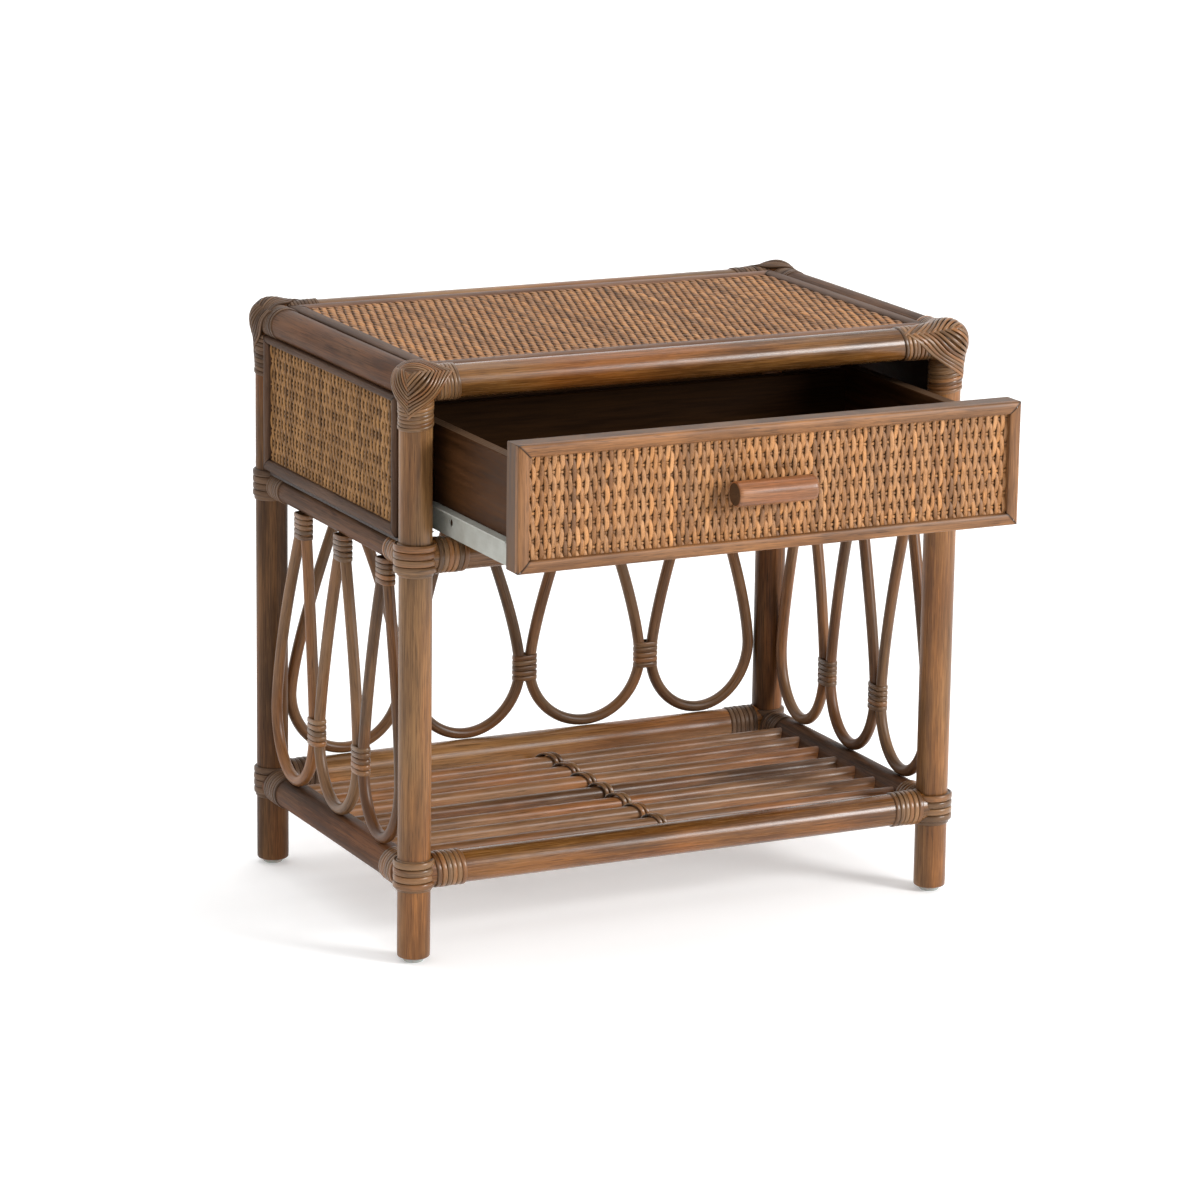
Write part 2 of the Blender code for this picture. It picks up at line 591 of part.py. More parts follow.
for side, sx in SIDES:
    # drawer member: foot under the side, web on its face, wing above the cabinet roller
    z0 = RUNNER_Z0 - FRONT_Z0
    z1 = RUNNER_Z1 - FRONT_Z0
    x0 = SIDE_OUT + CLEAR
    section = [(x0 - RUNNER_FOOT, z0), (web_out, z0), (web_out, z1 - MEMBER_T),
               (x0 + RUNNER_WING, z1 - MEMBER_T), (x0 + RUNNER_WING, z1), (x0, z1),
               (x0, z0 + MEMBER_T), (x0 - RUNNER_FOOT, z0 + MEMBER_T)]
    bar = profile_bm([(sx * x, z) for x, z in section], runner_y0, box_y1)
    runner = mesh_piece(f"drawer_runner_{side}", bar, ENAMEL, drawer, smooth=False)
    for n, back in enumerate(SCREW_HOLES):
        hole = guide(f"cut_screw_{side}_{n + 1}", cylinder_bm(SCREW_HOLE_R, 0.006, "X", 14), drawer,
                     (sx * (x0 + MEMBER_T / 2), FRONT_FULL_T + back, (z0 + z1) / 2 + SCREW_HOLE_RISE))
        boolean(runner, hole)
    pin_l = ROLLER_IN + ROLLER_W + CLEAR + PIN_HEAD_T - (web_out - MEMBER_T / 2)
    pin = remap(pin_bm(pin_l), lambda x, y, z: (sx * x, y, z))
    roller_z = RUNNER_ROLLER_Z - FRONT_Z0
    joined = guide(f"join_runner_pin_{side}", pin, drawer,
                   (sx * (web_out - MEMBER_T / 2), runner_roller_y, roller_z))
    boolean(runner, joined, "UNION")
    wheel = remap(ring_bm(roller_section, 16), lambda x, y, z: (sx * (x - ROLLER_W / 2), y, z))
    mesh_piece(f"drawer_roller_{side}", wheel, NYLON, drawer,
               (sx * ROLLER_MID, runner_roller_y, roller_z))

    # cabinet member: track below, retaining lip above, plain tongue up to the front leg
    z0 = TRACK_Z0
    z1 = TRACK_Z0 + TRACK_H
    section = [(TRACK_OUT, z0), (TRACK_OUT, z1), (TRACK_OUT - TRACK_LIP, z1),
               (TRACK_OUT - TRACK_LIP, z1 - MEMBER_T), (track_in, z1 - MEMBER_T),
               (track_in, z0 + MEMBER_T), (TRACK_OUT - TRACK_FLANGE, z0 + MEMBER_T),
               (TRACK_OUT - TRACK_FLANGE, z0)]
    bar = profile_bm([(sx * x, z) for x, z in section], track_y0, track_y1)
    track = mesh_piece(f"cabinet_runner_{side}", bar, ENAMEL, cabinet, smooth=False)
    cut = box_bm(sx * track_in, sx * (track_in - 2 * TRACK_FLANGE), track_y0 - TRACK_FRONT_TAB,
                 track_stop_y, z0 - TRACK_H, z1 + TRACK_H)
    relief = guide(f"cut_track_front_{side}", cut, cabinet)
    boolean(track, relief)
    pin_l = track_in + MEMBER_T / 2 - (ROLLER_IN - CLEAR - PIN_HEAD_T)
    pin = remap(pin_bm(pin_l), lambda x, y, z: (-sx * x, y, z))
    joined = guide(f"join_track_pin_{side}", pin, cabinet,
                   (sx * (track_in + MEMBER_T / 2), track_roller_y, TRACK_ROLLER_Z))
    boolean(track, joined, "UNION")
    wheel = remap(ring_bm(roller_section, 16), lambda x, y, z: (sx * (x - ROLLER_W / 2), y, z))
    mesh_piece(f"cabinet_roller_{side}", wheel, NYLON, cabinet,
               (sx * ROLLER_MID, track_roller_y, TRACK_ROLLER_Z))
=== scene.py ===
"""Looks of the rattan nightstand: poles, canes, woven webbing, bindings and the drawer's fittings."""
import math

import bpy
import numpy as np
from mathutils import Matrix, Vector


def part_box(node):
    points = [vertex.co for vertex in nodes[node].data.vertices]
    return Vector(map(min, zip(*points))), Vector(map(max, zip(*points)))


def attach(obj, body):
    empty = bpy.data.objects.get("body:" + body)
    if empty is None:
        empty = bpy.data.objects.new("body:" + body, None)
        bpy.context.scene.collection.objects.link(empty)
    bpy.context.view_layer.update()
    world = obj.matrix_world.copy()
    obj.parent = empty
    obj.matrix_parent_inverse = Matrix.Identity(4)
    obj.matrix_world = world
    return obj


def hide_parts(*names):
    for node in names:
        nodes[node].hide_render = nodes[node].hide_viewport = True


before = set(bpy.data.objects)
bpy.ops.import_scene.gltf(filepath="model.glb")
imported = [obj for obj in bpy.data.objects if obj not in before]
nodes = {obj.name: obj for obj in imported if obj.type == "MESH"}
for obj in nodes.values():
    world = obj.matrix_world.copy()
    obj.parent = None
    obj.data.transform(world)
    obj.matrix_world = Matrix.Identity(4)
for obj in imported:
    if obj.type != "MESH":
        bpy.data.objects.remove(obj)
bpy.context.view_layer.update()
rng = np.random.default_rng(11)

MM = 0.001
SIDES = (("left", -1), ("right", 1))
ENDS = (("front", -1), ("back", 1))

# ---------------------------------------------------------------- sizes from the frame
def middle(node):
    """Centre of a CAD node's box."""
    low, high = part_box(node)
    return (low + high) / 2


def extent(node):
    """Size of a CAD node's box."""
    low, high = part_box(node)
    return high - low


leg_low, leg_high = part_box("leg_front_right")
LEG_R = (leg_high.x - leg_low.x) / 2
LEG_X = middle("leg_front_right").x
FRONT_Y = middle("leg_front_right").y
BACK_Y = middle("leg_back_right").y
MID_Y = (FRONT_Y + BACK_Y) / 2
LEVELS = ("top", "mid", "bottom")
RAIL_Z = {level: (middle(f"{level}_rail_front").z, middle(f"{level}_rail_left").z) for level in LEVELS}
RAIL_R = {level: (extent(f"{level}_rail_front").z / 2, extent(f"{level}_rail_left").z / 2)
          for level in LEVELS}
TOP_Z = RAIL_Z["top"][0]
END_Y = {"front": FRONT_Y, "back": BACK_Y}

STRAND_PITCH = 3.55 * MM      # webbing canes, side by side
WEFT_PITCH = 10.4 * MM        # thin cross canes that they pass over and under
ROWS_PER_WEFT = 7             # points of a webbing cane between two cross canes
SEAM = 0.3 * MM               # gap between a trim and its board in the CAD
OVERLAP = 1.0 * MM            # how far the webbing runs on under its trims
SLAT_SWELL = 0.65 * MM        # shelf canes are drawn this much larger in radius than the CAD's
# how far the leg wraps stand off at the front
LEG_WRAP_OFF = {"mid": 2.8 * MM, "bottom": 2.1 * MM}
# how far a cap reaches on the leg, cross rail and side rail, and where the turns below it end
CAPS = {
    ("front", "left"): ((25, 27, 14), (35, 35, 0)),
    ("front", "right"): ((30, 45, 28), (43, 47, 36)),
    ("back", "left"): ((36, 34, 22), (46, 44, 36)),
    ("back", "right"): ((31, 34, 22), (42, 44, 34)),
}


# ---------------------------------------------------------------- materials
def tree(name, roughness=0.45, specular=0.5, coat=0.0, coat_roughness=0.3):
    """A new material, returned with its node tree and shader."""
    mat = bpy.data.materials.new(name)
    mat.use_nodes = True
    nt = mat.node_tree
    shader = nt.nodes["Principled BSDF"]
    shader.inputs["Roughness"].default_value = roughness
    shader.inputs["Specular IOR Level"].default_value = specular
    shader.inputs["Coat Weight"].default_value = coat
    shader.inputs["Coat Roughness"].default_value = coat_roughness
    return mat, nt, shader


def node(nt, kind, inputs=(), **settings):
    """Add a node, set its properties and plug or set its inputs."""
    made = nt.nodes.new(kind)
    for key, value in settings.items():
        setattr(made, key, value)
    for key, value in dict(inputs).items():
        if isinstance(value, bpy.types.NodeSocket):
            nt.links.new(value, made.inputs[key])
        else:
            made.inputs[key].default_value = value
    return made


def noise(nt, vector, scale, detail=4.0, rough=0.6):
    """Noise value between 0 and 1 at a vector."""
    return node(nt, "ShaderNodeTexNoise", {"Vector": vector, "Scale": scale, "Detail": detail,
                                           "Roughness": rough}).outputs["Fac"]


def stretched(nt, vector, scale):
    """A vector scaled per axis."""
    return node(nt, "ShaderNodeMapping", {"Vector": vector, "Scale": scale}).outputs["Vector"]


def ramp(nt, value, stops):
    """Colour ramp; stops are (position, colour)."""
    made = node(nt, "ShaderNodeValToRGB", {"Fac": value})
    elements = made.color_ramp.elements
    while len(elements) < len(stops):
        elements.new(0.5)
    for element, (position, colour) in zip(elements, stops):
        element.position = position
        element.color = (*colour, 1.0) if hasattr(colour, "__len__") else (colour, colour, colour, 1.0)
    return made.outputs["Color"]


def blend(nt, share, a, b, mode="MIX"):
    """Mix two colours."""
    made = node(nt, "ShaderNodeMix", data_type="RGBA", blend_type=mode)
    for socket, value in ((made.inputs[0], share), (made.inputs[6], a), (made.inputs[7], b)):
        if isinstance(value, bpy.types.NodeSocket):
            nt.links.new(value, socket)
        else:
            socket.default_value = value if not hasattr(value, "__len__") else (*value, 1.0)
    return made.outputs[2]


def maths(nt, operation, a, b=0.0):
    """An arithmetic node."""
    return node(nt, "ShaderNodeMath", {0: a, 1: b}, operation=operation).outputs[0]


def tones(colour, low=0.45, high=1.55, warm=0.06):
    """Four steps of one colour; the dark steps are redder and the pale ones greyer."""
    steps = []
    shares = (low, (1 + low) / 2, (1 + high) / 2.2, high)
    shifts = (warm, warm / 2, 0.0, -warm / 2)
    for share, shift in zip(shares, shifts):
        red, green, blue = (c * share for c in colour)
        steps.append((red, green * (1 - shift), blue * (1 - 1.6 * shift)))
    return steps


def cane_material(name, colour, roughness=(0.36, 0.52), streak=900.0, patch=42.0, vary=0.0, coat=0.0,
                  bump=0.25, fleck=0.5, low=0.45, high=1.55, stain=None, specular=0.28, from_object=None):
    """Peeled rattan: long streaks, broad patches, fine dark flecks, painted shade along strip edges and in
    dips and crevices, satin surface.

    The grain follows the piece's own straightened coordinates, or object coordinates whose named
    axis is the grain. vary shifts the tone by the strand's own number; stain colours broad patches.
    """
    mat, nt, shader = tree(name, specular=specular, coat=coat, coat_roughness=0.22)
    if from_object is None:
        grain = node(nt, "ShaderNodeAttribute", attribute_name="grain").outputs["Vector"]
        long_axis = 2
    else:
        grain = node(nt, "ShaderNodeTexCoord").outputs["Object"]
        long_axis = "XYZ".index(from_object)
    fine = [1.0, 1.0, 1.0]
    fine[long_axis] = 0.03
    broad = [1.0, 1.0, 1.0]
    broad[long_axis] = 0.20
    streaks = noise(nt, stretched(nt, grain, fine), streak, 3.0, 0.75)
    coarse = noise(nt, stretched(nt, grain, fine), streak * 0.3, 2.0, 0.5)
    patches = noise(nt, stretched(nt, grain, broad), patch, 3.0, 0.55)
    mixed = maths(nt, "ADD", maths(nt, "MULTIPLY", streaks, 0.40), maths(nt, "MULTIPLY", coarse, 0.16))
    mixed = maths(nt, "ADD", mixed, maths(nt, "MULTIPLY", patches, 0.44))
    if vary:
        own = node(nt, "ShaderNodeAttribute", attribute_name="own").outputs["Fac"]
        mixed = maths(nt, "ADD", mixed, maths(nt, "MULTIPLY", maths(nt, "SUBTRACT", own, 0.5), vary))
    steps = tones(colour, low, high)
    tone = ramp(nt, mixed, list(zip((0.34, 0.46, 0.55, 0.68), steps)))
    if stain is not None:
        stained = noise(nt, stretched(nt, grain, broad), patch * 0.55, 2.0, 0.5)
        tone = blend(nt, ramp(nt, stained, [(0.44, 0.0), (0.62, 0.75)]), tone, stain, "MULTIPLY")
    specks = noise(nt, stretched(nt, grain, fine), streak * 1.7, 1.0, 0.4)
    dark = ramp(nt, specks, [(0.0, 1.0), (0.31, 1.0), (0.38, 0.0), (1.0, 0.0)])
    tone = blend(nt, maths(nt, "MULTIPLY", dark, fleck), tone, tuple(c * 0.4 for c in steps[0]))
    # painted shade: the edge attribute darkens strip edges, dips under wefts and trim crevices
    edge = node(nt, "ShaderNodeAttribute", attribute_name="edge").outputs["Fac"]
    painted_edge_shade = ramp(nt, edge, [(0.0, 1.0), (0.70, 1.0), (0.90, 0.50), (1.0, 0.18)])
    tone = blend(nt, 1.0, tone, painted_edge_shade, "MULTIPLY")
    nt.links.new(tone, shader.inputs["Base Color"])
    rough = node(nt, "ShaderNodeMapRange", {"Value": streaks, "From Min": 0.3, "From Max": 0.7,
                                            "To Min": roughness[0], "To Max": roughness[1]})
    nt.links.new(rough.outputs["Result"], shader.inputs["Roughness"])
    relief = node(nt, "ShaderNodeBump", {"Height": streaks, "Strength": bump, "Distance": 0.0004})
    nt.links.new(relief.outputs["Normal"], shader.inputs["Normal"])
    return mat


def board_material(name, dark, light, axis, edge=None, roughness=(0.42, 0.6), specular=0.35):
    """Stained plywood with a long grain; upward edges may show paler plies."""
    mat, nt, shader = tree(name, specular=specular)
    at = node(nt, "ShaderNodeTexCoord").outputs["Object"]
    scale = [1.0, 1.0, 1.0]
    scale["XYZ".index(axis)] = 0.06
    grain = noise(nt, stretched(nt, at, scale), 260.0, 5.0, 0.65)
    broad = noise(nt, stretched(nt, at, scale), 40.0, 3.0, 0.5)
    mixed = maths(nt, "ADD", maths(nt, "MULTIPLY", grain, 0.55), maths(nt, "MULTIPLY", broad, 0.45))
    colour = ramp(nt, mixed, [(0.36, dark), (0.64, light)])
    if edge is not None:
        facing = node(nt, "ShaderNodeSeparateXYZ", {0: node(nt, "ShaderNodeNewGeometry").outputs["Normal"]})
        upward = ramp(nt, facing.outputs["Z"], [(0.80, 0.0), (0.95, 1.0)])
        plies = node(nt, "ShaderNodeTexWave", {"Vector": at, "Scale": 120.0, "Distortion": 0.6},
                     bands_direction="X")
        ply = blend(nt, maths(nt, "MULTIPLY", plies.outputs["Fac"], 0.7), edge, tuple(c * 0.45 for c in edge))
        colour = blend(nt, upward, colour, ply)
    nt.links.new(colour, shader.inputs["Base Color"])
    rough = node(nt, "ShaderNodeMapRange", {"Value": grain, "From Min": 0.3, "From Max": 0.7,
                                            "To Min": roughness[0], "To Max": roughness[1]})
    nt.links.new(rough.outputs["Result"], shader.inputs["Roughness"])
    relief = node(nt, "ShaderNodeBump", {"Height": grain, "Strength": 0.2, "Distance": 0.0003})
    nt.links.new(relief.outputs["Normal"], shader.inputs["Normal"])
    return mat


def smooth_material(name, colour, worn, roughness, scale=60.0, bump=0.04, subsurface=0.0):
    """Enamel, nylon or clear plastic with faint scuffs and dust."""
    mat, nt, shader = tree(name)
    at = node(nt, "ShaderNodeTexCoord").outputs["Object"]
    cloud = noise(nt, at, scale, 5.0, 0.6)
    scuff = noise(nt, stretched(nt, at, (1.0, 0.08, 1.0)), scale * 9, 2.0, 0.5)
    colour_out = ramp(nt, cloud, [(0.35, colour), (0.75, worn)])
    colour_out = blend(nt, ramp(nt, scuff, [(0.62, 0.0), (0.72, 0.35)]), colour_out, worn)
    nt.links.new(colour_out, shader.inputs["Base Color"])
    shader.inputs["Subsurface Weight"].default_value = subsurface
    rough = node(nt, "ShaderNodeMapRange", {"Value": scuff, "From Min": 0.3, "From Max": 0.7,
                                            "To Min": roughness - 0.06, "To Max": roughness + 0.10})
    nt.links.new(rough.outputs["Result"], shader.inputs["Roughness"])
    relief = node(nt, "ShaderNodeBump", {"Height": cloud, "Strength": bump, "Distance": 0.0005})
    nt.links.new(relief.outputs["Normal"], shader.inputs["Normal"])
    return mat


# warm poles, side and back poles darkened as painted shade, a pole brightened as painted light, canes,
# bindings and the woven sheets
ORANGE = (1.28, 0.95, 0.62)
GOLDEN = (1.16, 1.04, 0.80)
POLE = cane_material("rattan pole", (0.186, 0.093, 0.034), (0.26, 0.42), coat=0.08, low=0.45, high=1.6,
                     stain=ORANGE)
# a brighter copy of the pole material, painted light, for the bottom back rail
POLE_PAINTED_LIGHT = cane_material("rattan pole, painted light", (0.250, 0.122, 0.044), (0.24, 0.40), coat=0.12, low=0.45,
                           high=1.6, stain=ORANGE)
# back legs: a darker copy of the pole material, painted shade
POLE_BACK_PAINTED_SHADE = cane_material("rattan pole, shaded", (0.100, 0.046, 0.017), (0.34, 0.50), low=0.35, high=1.7,
                          stain=ORANGE, specular=0.15)
POLE_FRONT = cane_material("rattan pole, warm", (0.145, 0.062, 0.016), (0.18, 0.32), coat=0.30, low=0.35,
                           high=1.7, stain=ORANGE)
# side rails: greyer than the poles and darkened as painted shade on faces turned from the key light
POLE_SIDE_PAINTED_SHADE = cane_material("rattan pole, greyed, painted shade", (0.094, 0.046, 0.024), (0.42, 0.56), low=0.35, high=1.7,
                          stain=ORANGE, specular=0.08)
CANE = cane_material("rattan cane", (0.135, 0.070, 0.032), (0.28, 0.44), patch=60.0, vary=0.16, stain=ORANGE)
SLAT = cane_material("shelf cane", (0.178, 0.089, 0.041), (0.26, 0.42), patch=60.0, vary=0.24, coat=0.10,
                     stain=ORANGE)
BINDING = cane_material("cane binding", (0.158, 0.083, 0.036), (0.24, 0.40), streak=1500.0, patch=90.0,
                        vary=0.22, coat=0.25, bump=0.35, stain=ORANGE)
# back bindings: a darker copy of the binding material, painted shade
BINDING_PAINTED_SHADE = cane_material("cane binding, shaded", (0.105, 0.058, 0.032), (0.34, 0.50), streak=1500.0,
                             patch=90.0, vary=0.22, bump=0.35, specular=0.18)
TRIM = cane_material("rattan trim", (0.196, 0.091, 0.036), (0.34, 0.50), streak=1100.0, fleck=0.7,
                     stain=GOLDEN)
HANDLE = cane_material("rattan handle", (0.235, 0.103, 0.044), (0.28, 0.42), streak=1100.0, coat=0.15,
                       stain=ORANGE)
TRIM_TOP = cane_material("rattan trim, rosy", (0.160, 0.084, 0.050), (0.40, 0.56), streak=1100.0,
                         specular=0.15)
# side-facing trims: greyer than the trim and darkened as painted shade
TRIM_SIDE_PAINTED_SHADE = cane_material("rattan trim, greyed, painted shade", (0.082, 0.044, 0.026), (0.42, 0.58), streak=1100.0,
                          specular=0.08)
WEAVE = cane_material("woven cane", (0.322, 0.157, 0.064), (0.40, 0.58), streak=1900.0, patch=120.0,
                      vary=0.24, bump=0.3, fleck=0.25, low=0.45, high=1.55, stain=GOLDEN)
# side webbing: greyer, without the golden stain, and darkened as painted shade
WEAVE_SIDE_PAINTED_SHADE = cane_material("woven cane, greyed, painted shade", (0.260, 0.132, 0.048), (0.42, 0.60), streak=1900.0,
                           patch=120.0, vary=0.16, bump=0.3, fleck=0.25, low=0.45, high=1.55, specular=0.1)
WEAVE_TOP = cane_material("woven cane, top", (0.315, 0.150, 0.058), (0.42, 0.60), streak=1900.0,
                          patch=120.0, vary=0.22, bump=0.3, fleck=0.25, low=0.50, high=1.50, stain=GOLDEN,
                          specular=0.15)
# board behind the webbing: dark stain, made near black as painted shade in the gaps between canes
BACKING_PAINTED_SHADE = board_material("backing board, painted shade", (0.014, 0.005, 0.002), (0.030, 0.012, 0.004), "X")
FRONT_EDGE = board_material("front board", (0.040, 0.018, 0.008), (0.150, 0.076, 0.034), "Z")
CUT_END = cane_material("cut end", (0.075, 0.036, 0.014), (0.6, 0.8), streak=2600.0, from_object="X")
PLY_SIDE = board_material("stained drawer side", (0.022, 0.008, 0.002), (0.080, 0.032, 0.011), "Y",
                          edge=(0.110, 0.062, 0.034), specular=0.1)
# drawer back, drawer bottom and cabinet back: stained, and darkened further as painted shade inside
PLY_CROSS_PAINTED_SHADE = board_material("stained drawer board, painted shade", (0.014, 0.005, 0.001), (0.036, 0.014, 0.003), "X",
                           edge=(0.080, 0.044, 0.024), specular=0.04)
ENAMEL = smooth_material("cream enamel", (0.440, 0.450, 0.410), (0.330, 0.325, 0.285), 0.38)
NYLON = smooth_material("white nylon", (0.740, 0.740, 0.690), (0.560, 0.550, 0.500), 0.5, subsurface=0.1)
GLIDE = smooth_material("clear glide", (0.400, 0.410, 0.390), (0.300, 0.305, 0.290), 0.35, subsurface=0.3)


# ---------------------------------------------------------------- mesh building
class Pile:
    """Strips and tubes gathered into one mesh, with straightened grain coordinates."""

    def __init__(self):
        self.points, self.grain, self.own, self.edge, self.faces, self.mats = [], [], [], [], [], []
        self.count = 0

    def grids(self, points, grain, own, edge=0.0, round_across=False, ring_along=False, mat=0):
        """Add a batch of grids, shaped (pieces, along, across, 3)."""
        pieces, along, across, _ = points.shape
        index = self.count + np.arange(pieces * along * across).reshape(pieces, along, across)
        if round_across:
            index = np.concatenate([index, index[:, :, :1]], 2)
        if ring_along:
            index = np.concatenate([index, index[:, :1]], 1)
        a, b = index[:, :-1, :-1], index[:, 1:, :-1]
        c, d = index[:, 1:, 1:], index[:, :-1, 1:]
        quads = np.stack([a, b, c, d], -1).reshape(-1, 4)
        self.points.append(points.reshape(-1, 3))
        self.grain.append(grain.reshape(-1, 3))
        self.own.append(np.broadcast_to(np.reshape(own, (-1, 1, 1)), points.shape[:3]).reshape(-1))
        # edge: how much painted shade darkens a point, at strip edges and in crevices
        self.edge.append(np.broadcast_to(edge, points.shape[:3]).reshape(-1))
        self.faces.append(quads)
        self.mats.append(np.full(len(quads), mat))
        self.count += pieces * along * across

    def sweep(self, path, ups, across, height, scale=None, closed=False, round_across=True, own=None):
        """Sweep a section along a path; ups gives the section's up direction at each point."""
        path = np.asarray(path, float)
        ups = np.broadcast_to(np.asarray(ups, float), path.shape)
        if closed:
            run = np.roll(path, -1, 0) - np.roll(path, 1, 0)
            steps = np.linalg.norm(path - np.roll(path, 1, 0), axis=1)
            steps[0] = 0.0
        else:
            run = np.gradient(path, axis=0)
            steps = np.concatenate([[0.0], np.linalg.norm(np.diff(path, axis=0), axis=1)])
        run = run / np.linalg.norm(run, axis=1, keepdims=True)
        side = np.cross(ups, run)
        side /= np.linalg.norm(side, axis=1, keepdims=True)
        rise = np.cross(run, side)
        scale = np.ones(len(path)) if scale is None else np.asarray(scale, float)
        a = scale[:, None] * np.asarray(across)[None, :]
        h = scale[:, None] * np.asarray(height)[None, :]
        points = path[:, None] + a[..., None] * side[:, None] + h[..., None] * rise[:, None]
        travelled = np.broadcast_to(np.cumsum(steps)[:, None], a.shape)
        shift = rng.uniform(0.0, 5.0, 3)
        grain = np.stack([a, h, travelled], -1) + shift
        number = rng.uniform() if own is None else own
        # flat strips get painted shade towards their edges
        rim = 0.0 if round_across else np.abs(np.linspace(-1, 1, len(across)))[None, None, :]
        self.grids(points[None], grain[None], number, rim, round_across, closed)
        return points

    def piece(self, name, mats, body, replaces=()):
        """Make the object, hang it on its body and hide the CAD parts it replaces."""
        mesh = bpy.data.meshes.new(name)
        points = np.concatenate(self.points)
        faces = np.concatenate(self.faces)
        mesh.vertices.add(len(points))
        mesh.vertices.foreach_set("co", points.astype(np.float32).ravel())
        mesh.loops.add(faces.size)
        mesh.loops.foreach_set("vertex_index", faces.astype(np.int32).ravel())
        mesh.polygons.add(len(faces))
        mesh.polygons.foreach_set("loop_start", np.arange(0, faces.size, 4, dtype=np.int32))
        mesh.update(calc_edges=True)
        mesh.polygons.foreach_set("material_index", np.concatenate(self.mats).astype(np.int32))
        grain = mesh.attributes.new("grain", "FLOAT_VECTOR", "POINT")
        grain.data.foreach_set("vector", np.concatenate(self.grain).astype(np.float32).ravel())
        own = mesh.attributes.new("own", "FLOAT", "POINT")
        own.data.foreach_set("value", np.concatenate(self.own).astype(np.float32))
        edge = mesh.attributes.new("edge", "FLOAT", "POINT")
        edge.data.foreach_set("value", np.concatenate(self.edge).astype(np.float32))
        for mat in mats:
            mesh.materials.append(mat)
        mesh.shade_smooth()
        mesh.validate()
        obj = bpy.data.objects.new(name, mesh)
        bpy.context.scene.collection.objects.link(obj)
        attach(obj, body)
        if replaces:
            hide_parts(*replaces)


def circle(radius, sides):
    """A round section as (across, height) arrays."""
    turn = np.arange(sides) * 2 * math.pi / sides
    return radius * np.sin(turn), radius * np.cos(turn)


def strip_section(width, thick, sink=0.0006):
    """A flat cane strip with a crowned top and tucked edges."""
    share = np.array([-0.5, -0.47, -0.36, -0.18, 0.0, 0.18, 0.36, 0.47, 0.5])
    crown = np.array([-sink / thick, 0.45, 0.86, 0.98, 1.0, 0.98, 0.86, 0.45, -sink / thick])
    return width * share, thick * crown


def pole(pile, start, end, radius, sides=40, step=0.006, knots=2, edge=0.0, caps=False, bow=0.0004):
    """A rattan pole with slight bow, knuckles and rounded ends."""
    start, end = np.array(start, float), np.array(end, float)
    length = np.linalg.norm(end - start)
    axis = (end - start) / length
    up = np.array([0.0, 0.0, 1.0]) if abs(axis[2]) < 0.9 else np.array([0.0, -1.0, 0.0])
    side = np.cross(up, axis)
    count = max(int(length / step), 8)
    along = np.linspace(0.0, length, count + 1)
    if edge:
        ends = edge * (1 - np.cos(np.linspace(0.0, math.pi / 2, 5)[:-1]))
        along = np.unique(np.concatenate([along, ends, length - ends]))
    scale = 1.0 + 0.004 * np.sin(along / length * math.pi * rng.uniform(1.5, 3.0) + rng.uniform(0, 6))
    for spot in rng.uniform(0.12, 0.88, knots) * length:
        ridge = 0.011 * np.exp(-((along - spot) / 0.0022) ** 2)
        waist = 0.004 * np.exp(-((along - spot) / 0.007) ** 2)
        scale += ridge - waist
    if edge:
        for inset in (along, length - along):
            near = np.clip(1 - inset / edge, 0, 1)
            scale -= edge / radius * (1 - np.sqrt(1 - near ** 2)) * (near > 0)
    sideways = side * rng.uniform(-1, 1) + up * rng.uniform(-1, 1)
    lean = bow * np.sin(along / length * math.pi)[:, None] * sideways
    path = start + along[:, None] * axis + lean
    across, height = circle(radius, sides)
    rows = pile.sweep(path, up, across, height, scale)
    if caps:
        for at_start, row, centre in ((True, rows[0], path[0]), (False, rows[-1], path[-1])):
            shares = np.array([1.0, 0.85, 0.5, 0.02])
            disc = centre + (row - centre)[None] * shares[:, None, None]
            if at_start:
                disc = disc[:, ::-1]
            pile.grids(disc[None], disc[None] * 1.0, rng.uniform(), round_across=True, mat=1)


def weft_lines(place, spots, weft_pitch, length):
    """Where each weft crosses each cane, shaped (canes, wefts); a weft wanders slowly along its length."""
    waves = rng.uniform(0, 2 * math.pi, (3, len(spots)))
    wander = ((0.55 * MM, 21.0), (0.40 * MM, 67.0), (0.30 * MM, 190.0))
    drift = sum(amp * np.sin(place[:, None] * freq + waves[n][None, :])
                for n, (amp, freq) in enumerate(wander))
    return (spots - 0.5) * weft_pitch - length / 2 + drift


